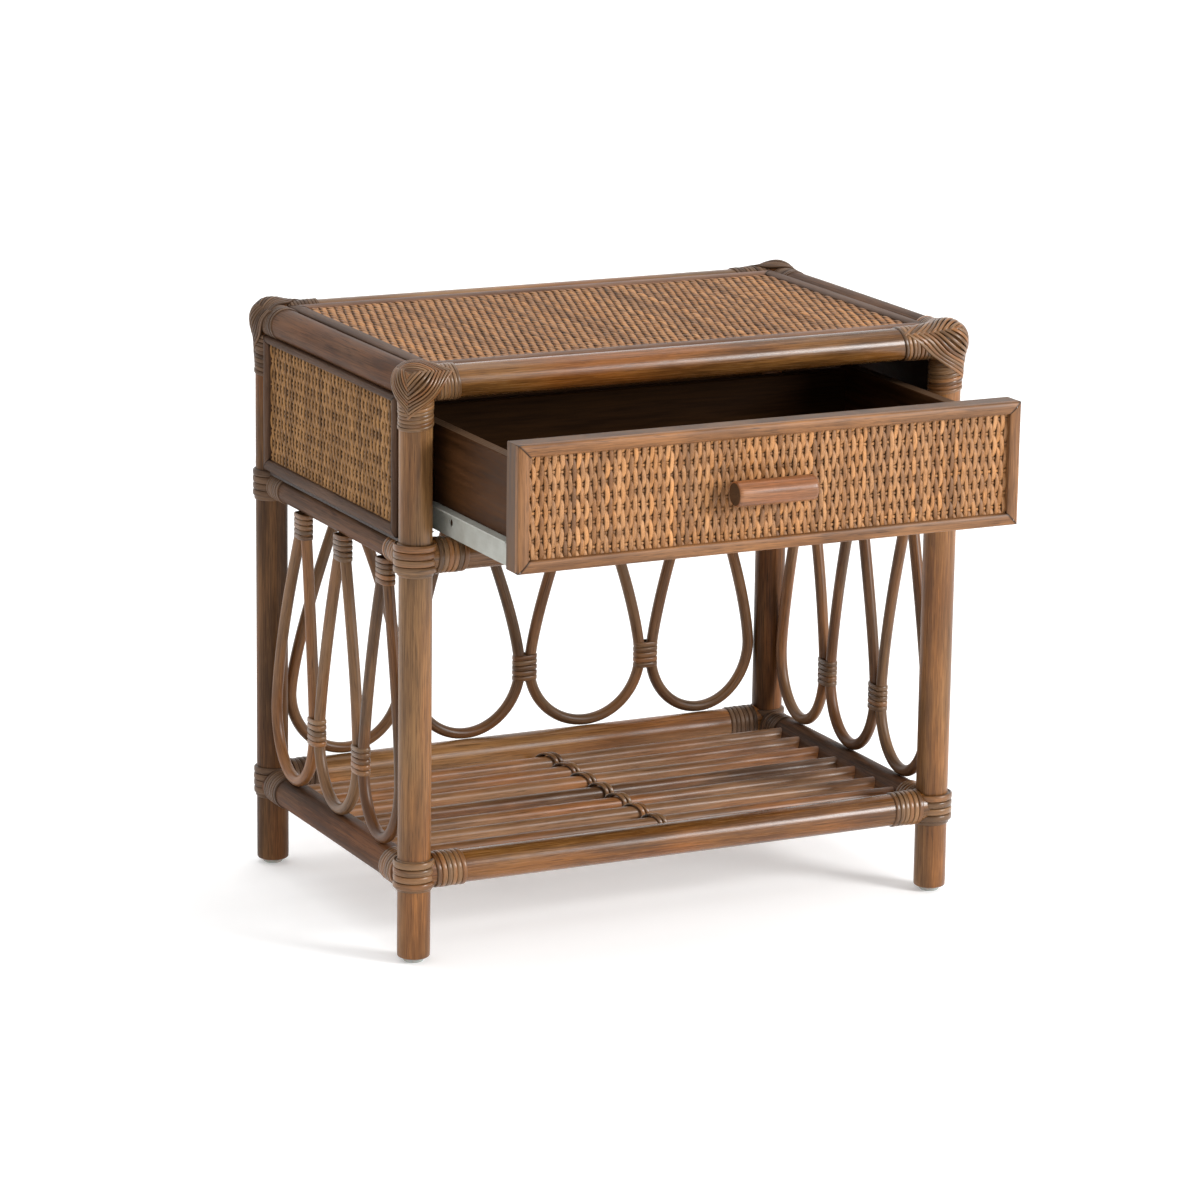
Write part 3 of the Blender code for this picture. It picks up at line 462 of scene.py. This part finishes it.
def woven_sheet(name, body, replaces, material, origin, across_dir, along_dir, out_dir, width, length,
                depth, dive=1.75 * MM):
    """Flat canes side by side, over and under thin wefts, in front of a board darkened as painted shade.

    origin is the field's centre on the board; canes run along along_dir and stand depth proud.
    """
    pile = Pile()
    origin, across_dir = np.array(origin, float), np.array(across_dir, float)
    along_dir, out_dir = np.array(along_dir, float), np.array(out_dir, float)
    canes = int(round(width / STRAND_PITCH))
    pitch = width / canes
    wefts = max(int(round(length / WEFT_PITCH)), 2)
    weft_pitch = length / wefts
    rows = wefts * ROWS_PER_WEFT + 1
    along = np.linspace(-length / 2, length / 2, rows)
    place = (np.arange(canes) + 0.5) * pitch - width / 2
    spots = np.arange(wefts + 2)
    centre_lines = weft_lines(place, spots, weft_pitch, length)
    phase = np.empty((canes, rows))
    for k in range(canes):
        phase[k] = np.interp(along, centre_lines[k], spots + (k % 2)) * math.pi
    swing = np.abs(np.angle(np.exp(1j * phase))) / math.pi                    # 0 over a weft, 1 under it
    dip = np.clip((swing - 0.60) / 0.36, 0, 1)
    dip = dip * dip * (3 - 2 * dip)
    belly = np.clip(1 - swing / 0.55, 0, 1)
    fat = rng.normal(1.0, 0.05, (canes, 1)).clip(0.88, 1.12)
    cane_w = pitch * fat * (1.14 + 0.06 * belly - 0.12 * dip)
    wobble = 0.10 * pitch * np.sin(along[None] * 260.0 + rng.uniform(0, 6.3, (canes, 1)))
    top = depth * (0.66 + 0.34 * np.sqrt(belly)) - dive * dip + rng.normal(0, 0.05 * MM, (canes, 1))
    share = np.array([-0.5, -0.42, -0.24, 0.0, 0.24, 0.42, 0.5])
    crown = np.array([-0.95, -0.30, -0.05, 0.0, -0.05, -0.30, -0.95]) * MM
    a = place[:, None, None] + wobble[..., None] + cane_w[..., None] * share
    h = top[..., None] + crown + 0.10 * MM * rng.normal(0, 1, (canes, 1, 1)) * share * 2
    s = np.broadcast_to(along[None, :, None], a.shape)
    points = origin + a[..., None] * across_dir + s[..., None] * along_dir + h[..., None] * out_dir
    shift = rng.uniform(0, 5, (canes, 1, 1, 3))
    grain = np.stack([a - place[:, None, None], h, s + 0 * h], -1) + shift
    tone = np.clip(rng.normal(0.5, 0.20, canes), 0.02, 0.98)
    dark = rng.uniform(size=canes) < 0.035
    tone[dark] = rng.uniform(-0.30, 0.0, dark.sum())
    # painted shade at cane edges and where a cane dips under a weft
    rim = np.maximum(np.abs(share) * 2 * 0.93, 0.88 * dip[..., None])
    pile.grids(points, grain, tone, rim)
    # wefts: thin canes that show where a cane passes under
    fine = (np.arange(canes * 4 + 1) / 4) * pitch - width / 2
    for j in range(wefts):
        run = np.interp(fine, place, centre_lines[:, j + 1])
        over = np.interp(fine, place, np.where((np.arange(canes) + j) % 2 == 0, 1.0, 0.0))
        lift = depth * (-0.15 + 0.50 * over)
        path = origin + fine[:, None] * across_dir + run[:, None] * along_dir + lift[:, None] * out_dir
        across, height = strip_section(2.3 * MM, 0.5 * MM, 0.3 * MM)
        pile.sweep(path, out_dir, across, height, 1 + 0.06 * np.sin(fine * 900 + j), round_across=False,
                   own=float(rng.normal(0.35, 0.15)))
    pile.piece(name, [material], body, replaces)


def board(name, body, low, high, material, bevel=0.8 * MM):
    """A plain board with softened edges."""
    mesh = bpy.data.meshes.new(name)
    low, high = Vector(low), Vector(high)
    corners = [(x, y, z) for x in (low.x, high.x) for y in (low.y, high.y) for z in (low.z, high.z)]
    sides = [(0, 1, 3, 2), (4, 6, 7, 5), (0, 4, 5, 1), (2, 3, 7, 6), (0, 2, 6, 4), (1, 5, 7, 3)]
    mesh.from_pydata(corners, [], sides)
    mesh.materials.append(material)
    obj = bpy.data.objects.new(name, mesh)
    bpy.context.scene.collection.objects.link(obj)
    edge = obj.modifiers.new("softened edges", "BEVEL")
    edge.width = bevel
    edge.segments = 3
    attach(obj, body)


def wrap(pile, centre, axis, out_radius, start, stop, turns, thick=0.9 * MM, tilt=0.04, sides=44):
    """Flat cane wound round a pole: turns side by side between start and stop along its axis."""
    centre, axis = np.array(centre, float), np.array(axis, float)
    side = np.array([0.0, 0.0, 1.0]) if abs(axis[2]) < 0.9 else np.array([1.0, 0.0, 0.0])
    other = np.cross(axis, side)
    turn = np.arange(sides) * 2 * math.pi / sides
    width = (stop - start) / turns
    across, height = strip_section(width * 0.98, thick)
    lie = rng.uniform(0, 6.3)
    for k in range(turns):
        at = start + width * (k + 0.5)
        lean = tilt * out_radius * np.cos(turn + lie + rng.uniform(0, 0.4))
        radius = out_radius + rng.normal(0, 0.10 * MM) + 0.08 * MM * np.sin(2 * turn + rng.uniform(0, 6))
        out = np.cos(turn)[:, None] * side + np.sin(turn)[:, None] * other
        path = centre + (at + lean)[:, None] * axis + radius[:, None] * out
        pile.sweep(path, out, across, height, closed=True, round_across=False, own=rng.uniform(0.2, 0.9))


# ---------------------------------------------------------------- poles
def build_poles():
    """Legs and rails as separate poles, each standing for its CAD node."""
    for side, sx in SIDES:
        for end, _ in ENDS:
            low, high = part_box(f"leg_{end}_{side}")
            x, y = sx * LEG_X, END_Y[end]
            pile = Pile()
            pole(pile, (x, y, low.z), (x, y, high.z), LEG_R, edge=2.2 * MM, caps=True, knots=2)
            # back legs take the painted-shade copy
            skin = POLE if end == "front" else POLE_BACK_PAINTED_SHADE
            pile.piece(f"pole_leg_{end}_{side}", [skin, CUT_END], "cabinet",
                       [f"leg_{end}_{side}"])
    for level in LEVELS:
        (cross_z, side_z), (cross_r, side_r) = RAIL_Z[level], RAIL_R[level]
        for end, _ in ENDS:
            pile = Pile()
            y = END_Y[end]
            pole(pile, (-LEG_X, y, cross_z), (LEG_X, y, cross_z), cross_r, knots=2)
            # the bottom back rail takes the brighter copy: painted light
            back = POLE_PAINTED_LIGHT if level == "bottom" else POLE
            pile.piece(f"pole_{level}_{end}", [POLE_FRONT if end == "front" else back], "cabinet",
                       [f"{level}_rail_{end}"])
        for side, sx in SIDES:
            pile = Pile()
            pole(pile, (sx * LEG_X, FRONT_Y, side_z), (sx * LEG_X, BACK_Y, side_z), side_r, knots=1)
            # side rails take the greyed copy with painted shade
            pile.piece(f"pole_{level}_{side}", [POLE_SIDE_PAINTED_SHADE], "cabinet",
                       [f"{level}_rail_{side}"])


# ---------------------------------------------------------------- corner caps and joint wraps
def corner_distance(p, corner, dirs, radius, melt=3.5 * MM):
    """Distance to three half poles that meet at a corner, softly joined, and its gradient."""
    rel = p - corner
    total = np.zeros(len(p))
    grad = np.zeros_like(p)
    for d in dirs:
        t = np.maximum(rel @ d, 0.0)
        away = rel - t[:, None] * d
        dist = np.linalg.norm(away, axis=1)
        weight = np.exp(-(dist - radius) / melt)
        total += weight
        grad += weight[:, None] * away / np.maximum(dist, 1e-6)[:, None]
    value = -melt * np.log(total)
    return value, grad / np.linalg.norm(grad, axis=1, keepdims=True)


def corner_cap(pile, corner, sx, sy, reach, rings=11):
    """Strips wound corner-wise over a three-way joint, ring after ring round its outermost point."""
    dirs = [np.array([0, 0, -1.0]), np.array([-sx, 0, 0.0]), np.array([0, -sy, 0.0])]
    ridges = [np.array([sx, sy, 0.0]), np.array([0, sy, 1.0]), np.array([sx, 0, 1.0])]
    ridges = [r / math.sqrt(2) for r in ridges]
    eye = np.array([sx, sy, 1.0]) / math.sqrt(3)
    lift = 0.7 * MM      # strips lie this far off the poles
    fill = 0.70          # width of a strip as a share of its ring's pitch
    tuck = 1.9 * MM      # how deep the ends of a strip go in
    pulls = 16           # rounds of pulling a strip tight over the joint
    radius = LEG_R + lift
    arc = math.acos(float(eye @ ridges[0]))

    def ridge_point(m, travel):
        """Point on the ridge of pole m, so far from the eye."""
        angle = min(travel / radius, arc)
        turned = eye * math.sin(arc - angle) + ridges[m] * math.sin(angle)
        return corner + turned / math.sin(arc) * radius + dirs[m] * max(travel - arc * radius, 0.0)

    full = [arc * radius + r * MM for r in reach]
    for k in range(rings):
        share = (k + 0.30) / (rings - 0.5)
        for m in range(3):
            n = (m + 1) % 3
            a, b = ridge_point(m, full[m] * share), ridge_point(n, full[n] * share)
            width = fill * (full[m] + full[n]) / 2 / rings
            spare = (1.5 * MM + 0.5 * width) / np.linalg.norm(b - a)
            t = np.linspace(-spare, 1 + spare, 25)
            path = a + (b - a) * t[:, None]
            for _ in range(pulls):
                path[1:-1] = 0.5 * path[1:-1] + 0.25 * (path[:-2] + path[2:])
                dist, normal = corner_distance(path, corner, dirs, LEG_R)
                path = path + np.maximum(lift - dist, 0.0)[:, None] * normal
            ends = np.clip((np.abs(t - 0.5) - 0.5 + spare * 0.6) / (spare * 1.6), 0, 1)
            dist, normal = corner_distance(path, corner, dirs, LEG_R)
            sunk = tuck * ends ** 2 + rng.normal(0, 0.12 * MM) + 0.25 * MM * (t - 0.5)
            path = path - sunk[:, None] * normal
            across, height = strip_section(width, 1.05 * MM, 0.9 * MM)
            pile.sweep(path, normal, across, height, round_across=False, own=rng.uniform(0.15, 0.9))


def build_bindings():
    """Corner caps at the top, wraps at the other joints."""
    for side, sx in SIDES:
        for end, sy in ENDS:
            pile = Pile()
            reach, stops = CAPS[end, side]
            corner = np.array([sx * LEG_X, END_Y[end], TOP_Z])
            corner_cap(pile, corner, sx, sy, reach)
            skin = LEG_R + 0.2 * MM
            for axis, stop in zip(((0, 0, -1), (-sx, 0, 0), (0, -sy, 0)), stops):
                if stop:
                    wrap(pile, corner, axis, skin, 10 * MM, stop * MM, round(stop / 4.5), tilt=0.16)
            # back caps and wraps take the painted-shade copy
            mat = BINDING if end == "front" else BINDING_PAINTED_SHADE
            pile.piece(f"cap_{end}_{side}", [mat], "cabinet")
            for level in LEVELS[1:]:
                joint_wraps(level, end, side, sx, sy, mat)


def joint_wraps(level, end, side, sx, sy, mat):
    """Cane wound round both rails and, over their ends, round the leg."""
    (cross_z, side_z), (cross_r, side_r) = RAIL_Z[level], RAIL_R[level]
    stand_off = 1.2 * MM if end == "back" else LEG_WRAP_OFF[level]
    pile = Pile()
    spot = np.array([sx * LEG_X, END_Y[end], cross_z])
    wrap(pile, spot, (0, 0, 1), LEG_R + 0.4 * MM, -15 * MM, 12 * MM, 5, thick=1.0 * MM)
    wrap(pile, spot, (0, 0, 1), LEG_R + stand_off, -12 * MM, 12 * MM, 4, thick=1.5 * MM, tilt=0.03)
    wrap(pile, spot, (-sx, 0, 0), cross_r + 0.3 * MM, 15 * MM, 42 * MM, 6, thick=1.0 * MM, tilt=0.07)
    spot[2] = side_z
    wrap(pile, spot, (0, -sy, 0), side_r + 0.3 * MM, 15 * MM, 40 * MM, 6, thick=1.0 * MM, tilt=0.07)
    pile.piece(f"wrap_{level}_{end}_{side}", [mat], "cabinet")


# ---------------------------------------------------------------- loops
def teardrop(half, lean, neck, bottom, top, widest, drop, swell=1.4, steps=26):
    """Outline (across, up) of a loop, from one top end down round to the other; lean moves its top."""
    reach = top - drop - widest
    share = 1.0 - np.arange(steps) / steps
    sides = []
    for sign in (1, -1):
        start = lean + sign * neck
        run = sign * half - start
        path = [(start, top), (start, top - drop * 0.5)]
        path += [(start + run * (1 - s ** swell), widest + reach * s) for s in share]
        sides.append(path)
    turn = np.linspace(0, math.pi, 41)
    arc = [(half * math.cos(t), widest - (widest - bottom) * math.sin(t)) for t in turn]
    return np.array(sides[0] + arc + sides[1][::-1])


def apex_of(name, top):
    """Middle of the top ends of a CAD loop."""
    points = [nodes[name].matrix_world @ v.co for v in nodes[name].data.vertices]
    high = [p for p in points if p.z > top - 1 * MM]
    return sum(high, Vector()) / len(high)


def build_loops():
    """Teardrop canes with their bindings under the rail and where neighbours touch."""
    cane_r = extent("loop_back_1").y / 2
    widest_rise, neck_drop = 55.3 * MM, 14 * MM
    for row, count, along in (("back", 4, 0), ("left", 3, 1), ("right", 3, 1)):
        out = 1 - along
        boxes = [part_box(f"loop_{row}_{n + 1}") for n in range(count)]
        for n, (low, high) in enumerate(boxes):
            centre = (low + high) / 2
            half = (high[along] - low[along]) / 2 - cane_r
            apex = apex_of(f"loop_{row}_{n + 1}", high.z)
            widest = low.z + cane_r + widest_rise
            outline = teardrop(half, apex[along] - centre[along], cane_r + 0.15 * MM, low.z + cane_r, high.z,
                               widest, neck_drop)
            outline[:, 0] += 0.5 * MM * np.sin(outline[:, 1] * 30 + rng.uniform(0, 6))
            path = np.zeros((len(outline), 3))
            path[:, along] = centre[along] + outline[:, 0]
            path[:, out] = centre[out]
            path[:, 2] = outline[:, 1]
            up = np.zeros(3)
            up[out] = 1.0
            pile = Pile()
            across, height = circle(cane_r, 22)
            scale = 1 + 0.03 * np.sin(np.linspace(0, 1, len(path)) * rng.uniform(8, 14) + rng.uniform(0, 6))
            pile.sweep(path, up, across, height, scale)
            pile.piece(f"cane_loop_{row}_{n + 1}", [CANE], "cabinet", [f"loop_{row}_{n + 1}"])
            binding = Pile()
            spot = np.array(centre)
            spot[along] = apex[along]
            spot[2] = high.z - 10 * MM
            oval_wrap(binding, spot, along, 2 * cane_r + 0.6 * MM, cane_r + 0.6 * MM, 22 * MM, 5)
            if n + 1 < count:
                spot = np.array(centre)
                spot[along] = (high[along] + boxes[n + 1][0][along]) / 2
                spot[2] = widest
                oval_wrap(binding, spot, along, 2 * cane_r + 0.6 * MM, cane_r + 0.6 * MM, 24 * MM, 5)
            binding.piece(f"loop_binding_{row}_{n + 1}", [BINDING], "cabinet")


def oval_wrap(pile, centre, along, half_wide, half_deep, tall, turns, thick=1.1 * MM):
    """Turns of flat cane round two canes side by side."""
    turn = np.arange(40) * 2 * math.pi / 40
    wide = np.sign(np.cos(turn)) * np.abs(np.cos(turn)) ** 0.72
    deep = np.sign(np.sin(turn)) * np.abs(np.sin(turn)) ** 0.80
    across, height = strip_section(tall / turns * 0.96, thick)
    for k in range(turns):
        path = np.tile(centre, (len(turn), 1))
        lean = rng.uniform(-0.6, 0.6) * MM * np.cos(turn)
        path[:, along] += half_wide * wide
        path[:, 1 - along] += half_deep * deep
        path[:, 2] += tall * ((k + 0.5) / turns - 0.5) + lean
        out = path - centre
        out[:, 2] = 0
        out[:, along] /= half_wide
        out[:, 1 - along] /= half_deep
        out /= np.linalg.norm(out, axis=1, keepdims=True)
        if along == 0:
            path, out = path[::-1], out[::-1]
        pile.sweep(path, out, across, height, closed=True, round_across=False, own=rng.uniform(0.1, 0.7))


# ---------------------------------------------------------------- shelf
def build_shelf():
    """Seven slightly wavy canes, tied to a cross cane beneath them."""
    count = 7
    ties = Pile()
    for n in range(count):
        low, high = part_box(f"shelf_cane_{n + 1}")
        radius = (high.y - low.y) / 2 + SLAT_SWELL
        centre = (low + high) / 2
        x = np.linspace(low.x - 8 * MM, high.x + 8 * MM, 70)
        wave = 1.0 * MM * np.sin(x * rng.uniform(9, 14) + rng.uniform(0, 6))
        rise = 0.6 * MM * np.sin(x * rng.uniform(6, 10) + rng.uniform(0, 6))
        path = np.stack([x, centre.y + wave, centre.z + rise], 1)
        scale = 1 + 0.03 * np.sin(x * 25 + rng.uniform(0, 6))
        for spot in rng.uniform(low.x, high.x, 3):
            scale += 0.05 * np.exp(-((x - spot) / 0.004) ** 2)
        pile = Pile()
        across, height = circle(radius, 20)
        pile.sweep(path, (0, 0, 1), across, height, scale)
        pile.piece(f"cane_shelf_{n + 1}", [SLAT], "cabinet", [f"shelf_cane_{n + 1}"])
        tie(ties, centre, radius)
    ties.piece("shelf_ties", [BINDING], "cabinet")
    low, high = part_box("shelf_support")
    pile = Pile()
    radius = (high.x - low.x) / 2
    height = middle("shelf_support").z
    pole(pile, (0, low.y - 4 * MM, height), (0, high.y + 4 * MM, height), radius, sides=20, knots=1)
    pile.piece("cane_support", [CANE], "cabinet", ["shelf_support"])


def tie(pile, centre, radius):
    """Strips looped over a shelf cane and down round the support, side by side and slightly twisted."""
    under = centre.z - middle("shelf_support").z
    drop = under + extent("shelf_support").x / 2 + 0.8 * MM
    turn = np.linspace(0, 2 * math.pi, 49)[:-1]
    width = 3.8 * MM
    across, height = strip_section(width, 1.1 * MM, 0.5 * MM)
    twist = rng.uniform(0.75, 1.05)
    for k in (0.4, 1.6):
        y = (radius + 1.2 * MM) * np.sin(turn)
        z = np.where(np.cos(turn) > 0, (radius + 2.2 * MM) * np.cos(turn), drop * np.cos(turn))
        x = (k - 1) * width * 1.02 - twist * y
        path = np.stack([x, centre.y + y, centre.z + z], 1)
        out = np.stack([0 * y, np.sin(turn), np.cos(turn)], 1)
        pile.sweep(path, out, across, height, closed=True, round_across=False, own=rng.uniform(0.3, 0.9))


# ---------------------------------------------------------------- mouldings
def moulding(name, body, replaces, materials, u, v, widths, base, height, place, shoulder=0.5,
             gap=0.25 * MM):
    """Four half-round canes mitred into a frame; place turns (u, v, w) into a point."""
    pile = Pile()
    turn = np.linspace(0, math.pi, 11)
    share = np.concatenate([[0.0], 0.5 - 0.5 * np.cos(turn), [1.0]])
    level = np.concatenate([[0.0], shoulder + (1 - shoulder) * np.sin(turn), [0.0]])
    corners = (("u", v[0], 1, widths[2]), ("v", u[1], -1, widths[1]), ("u", v[1], -1, widths[3]),
               ("v", u[0], 1, widths[0]))
    for index, (runs, line, inward, width) in enumerate(corners):
        limits, start_w, end_w = (u, widths[0], widths[1]) if runs == "u" else (v, widths[2], widths[3])
        across = share * width
        t = np.linspace(0, 1, 60)[:, None]
        first = limits[0] + across[None] / width * start_w + gap
        last = limits[1] - across[None] / width * end_w - gap
        along = first + (last - first) * t
        wave = 1 + 0.02 * np.sin(t * rng.uniform(6, 12) + rng.uniform(0, 6))
        side = line + inward * np.broadcast_to(across, along.shape)
        rise = base + height * level[None] * wave
        pu, pv = (along, side) if runs == "u" else (side, along)
        points = place(pu, pv, np.broadcast_to(rise, pu.shape))
        flip = (runs == "u") == (inward > 0)
        grain = np.stack([np.broadcast_to(across, along.shape), np.broadcast_to(rise, along.shape),
                          along], -1)
        grain = grain + rng.uniform(0, 5, 3)
        if flip:
            points, grain = points[:, ::-1], grain[:, ::-1]
        near = np.minimum(along - first, last - along) / MM
        # painted shade along the trim's edges and at its mitres
        rim = np.clip(1.0 - near * 0.5, 0, 1) + 0.9 * np.array([0, 1, *[0] * 9, 1, 0])[None]
        pile.grids(points[None], grain[None], rng.uniform(), rim[None].clip(0, 1),
                   mat=min(index % 2, len(materials) - 1))
    pile.piece(name, materials, body, replaces)


def build_top():
    """Woven top on its board, framed by a mitred trim."""
    low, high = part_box("top_panel")
    trim_low, trim_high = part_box("top_trim")
    board_z = trim_low.z - SEAM
    board("top_board", "cabinet", low, (high.x, high.y, board_z), BACKING_PAINTED_SHADE)
    width = 13.5 * MM
    # the top's side runs take the greyed copy with painted shade
    moulding("moulding_top", "cabinet", ["top_trim"], [TRIM_TOP, TRIM_SIDE_PAINTED_SHADE],
             (trim_low.x, trim_high.x), (trim_low.y, trim_high.y), [width] * 4, board_z,
             trim_high.z - board_z, lambda a, b, c: np.stack([a, b, c], -1))
    size = trim_high - trim_low
    woven_sheet("webbing_top", "cabinet", ["top_panel"], WEAVE_TOP,
                (0, MID_Y, board_z), (1, 0, 0), (0, 1, 0), (0, 0, 1),
                size.x - 2 * width + OVERLAP, size.y - 2 * width + OVERLAP, high.z - board_z + SEAM,
                dive=1.0 * MM)


def build_sides():
    """Woven side panels with their trims."""
    for side, sx in SIDES:
        low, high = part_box(f"side_panel_{side}")
        trim_low, trim_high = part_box(f"side_trim_{side}")
        outer = max(abs(trim_low.x), abs(trim_high.x))
        face = min(abs(trim_low.x), abs(trim_high.x)) - SEAM
        back = min(abs(low.x), abs(high.x))
        xs = sorted((sx * back, sx * face))
        board(f"side_board_{side}", "cabinet", (xs[0], low.y, low.z),
              (xs[1], high.y, high.z), BACKING_PAINTED_SHADE)
        wide, slim = 10.0 * MM, 6.3 * MM

        def put(a, b, c, sx=sx):
            """A moulding's own place turned onto this side."""
            return np.stack([sx * c, sx * a, b], -1)

        v = (trim_low.z, trim_high.z)
        u = sorted((sx * trim_low.y, sx * trim_high.y))
        # side trims take the greyed copy with painted shade
        moulding(f"moulding_side_{side}", "cabinet", [f"side_trim_{side}"],
                 [TRIM_SIDE_PAINTED_SHADE], u, v, [wide, wide, wide, slim], face, outer - face, put)
        centre = (sx * face, MID_Y, (v[0] + wide + v[1] - slim) / 2)
        # side webbing takes the darker copy: painted shade
        woven_sheet(f"webbing_side_{side}", "cabinet", [f"side_panel_{side}"], WEAVE_SIDE_PAINTED_SHADE,
                    centre, (0, sx, 0), (0, 0, 1), (sx, 0, 0), u[1] - u[0] - 2 * wide + OVERLAP,
                    v[1] - v[0] - wide - slim + OVERLAP, 1.9 * MM)


# ---------------------------------------------------------------- drawer
def build_drawer():
    """Woven drawer front with its trim and handle; the box keeps its CAD shapes."""
    low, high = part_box("drawer_front")
    trim_low, trim_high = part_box("drawer_front_trim")
    face = trim_high.y + SEAM
    board("front_board", "drawer", (low.x, face, low.z), (high.x, high.y, high.z),
          FRONT_EDGE, 0.6 * MM)
    width = 10.0 * MM
    moulding("moulding_front", "drawer", ["drawer_front_trim"], [TRIM],
             (trim_low.x, trim_high.x), (trim_low.z, trim_high.z), [width] * 4, 0.0, face - trim_low.y,
             lambda a, b, c: np.stack([a, face - c, b], -1), shoulder=0.75)
    size = trim_high - trim_low
    woven_sheet("webbing_front", "drawer", ["drawer_front"], WEAVE,
                (0, face, (low.z + high.z) / 2), (1, 0, 0), (0, 0, 1), (0, -1, 0),
                size.x - 2 * width + OVERLAP, size.z - 2 * width + OVERLAP, 2.7 * MM)
    low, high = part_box("drawer_handle")
    radius = (high.z - low.z) / 2
    axis_y = low.y + radius
    pile = Pile()
    centre = middle("drawer_handle")
    pole(pile, (low.x, axis_y, centre.z), (high.x, axis_y, centre.z), radius, step=0.003, knots=0,
         edge=1.3 * MM, caps=True, bow=0.0)
    across, height = circle(6 * MM, 24)
    path = [(centre.x, axis_y, centre.z), (centre.x, high.y + 1.2 * MM, centre.z)]
    pile.sweep(path, (0, 0, 1), across, height)
    pile.piece("handle_pole", [HANDLE, CUT_END], "drawer", ["drawer_handle"])


def dress_cad():
    """Materials for the CAD solids that stay."""
    plain = {"back_panel": PLY_CROSS_PAINTED_SHADE, "drawer_back": PLY_CROSS_PAINTED_SHADE, "drawer_bottom": PLY_CROSS_PAINTED_SHADE}
    for side, _ in SIDES:
        plain[f"drawer_side_{side}"] = PLY_SIDE
        for body in ("cabinet", "drawer"):
            plain[f"{body}_runner_{side}"] = ENAMEL
            plain[f"{body}_roller_{side}"] = NYLON
        for end, _ in ENDS:
            plain[f"foot_glide_{end}_{side}"] = GLIDE
    for name, mat in plain.items():
        mesh = nodes[name].data
        mesh.materials.clear()
        mesh.materials.append(mat)


# ---------------------------------------------------------------- stage, light and camera
def build_floor():
    """Pale paper floor that curves up into a backdrop."""
    mesh = bpy.data.meshes.new("floor")
    front, flat_end, bend, tall, half_wide = -4.0, 2.2, 1.5, 6.0, 6.0
    turn = np.linspace(0.1, math.pi / 2, 10)
    run = np.concatenate([[front, flat_end], flat_end + bend * np.sin(turn)])
    rise = np.concatenate([[0.0, 0.0], bend - bend * np.cos(turn)])
    run = np.append(run, run[-1])
    rise = np.append(rise, tall)
    verts = [(x, y, z) for y, z in zip(run, rise) for x in (-half_wide, half_wide)]
    faces = [(2 * i, 2 * i + 1, 2 * i + 3, 2 * i + 2) for i in range(len(run) - 1)]
    mesh.from_pydata(verts, [], faces)
    mesh.shade_smooth()
    mat, nt, shader = tree("floor paper", 0.9, 0.1)
    shader.inputs["Emission Color"].default_value = (1.0, 1.0, 1.0, 1.0)
    shader.inputs["Emission Strength"].default_value = 0.22
    grit = noise(nt, node(nt, "ShaderNodeTexCoord").outputs["Object"], 3.0, 2.0)
    nt.links.new(ramp(nt, grit, [(0.3, 0.93), (0.7, 0.96)]), shader.inputs["Base Color"])
    mesh.materials.append(mat)
    floor = bpy.data.objects.new("floor", mesh)
    bpy.context.scene.collection.objects.link(floor)
    floor.location.z = -0.2 * MM


def build_light():
    """White surroundings, a key light at the right and a weak light above."""
    world = bpy.data.worlds.new("studio")
    world.use_nodes = True
    world.node_tree.nodes["Background"].inputs["Color"].default_value = (1.0, 1.0, 1.0, 1.0)
    world.node_tree.nodes["Background"].inputs["Strength"].default_value = 0.85
    bpy.context.scene.world = world
    bpy.context.scene.view_settings.view_transform = "Standard"
    target = Vector((0.0, MID_Y, 0.25))
    lamps = (("key", (2.0, -2.5, 1.35), 1.0, 100.0), ("top", (0.3, 0.3, 2.8), 2.0, 16.0))
    for name, spot, size, power in lamps:
        light = bpy.data.lights.new(name, "AREA")
        light.size = size
        light.energy = power
        lamp = bpy.data.objects.new(name, light)
        bpy.context.scene.collection.objects.link(lamp)
        lamp.location = spot
        lamp.rotation_mode = "QUATERNION"
        lamp.rotation_quaternion = (target - Vector(spot)).to_track_quat("-Z", "Y")


def build_camera():
    """The photograph's view, from the front left and a little above."""
    azimuth, elevation, roll = (math.radians(v) for v in (-26.325, 13.986, 0.797))
    back = Vector((math.sin(azimuth) * math.cos(elevation), -math.cos(azimuth) * math.cos(elevation),
                   math.sin(elevation)))
    right = (-back).cross(Vector((0, 0, 1))).normalized()
    up = right.cross(-back)
    turned_right = right * math.cos(roll) + up * math.sin(roll)
    turned_up = up * math.cos(roll) - right * math.sin(roll)
    data = bpy.data.cameras.new("camera")
    data.sensor_width = 36.0
    data.lens = 143.47
    data.clip_end = 50.0
    camera = bpy.data.objects.new("camera", data)
    bpy.context.scene.collection.objects.link(camera)
    spot = Vector((-1.7786, MID_Y - 3.5895, 1.2455))
    camera.matrix_world = Matrix.Translation(spot) @ Matrix(
        (turned_right, turned_up, back)).transposed().to_4x4()
    bpy.context.scene.camera = camera


build_poles()
build_bindings()
build_loops()
build_shelf()
build_top()
build_sides()
build_drawer()
dress_cad()
build_floor()
build_light()
build_camera()
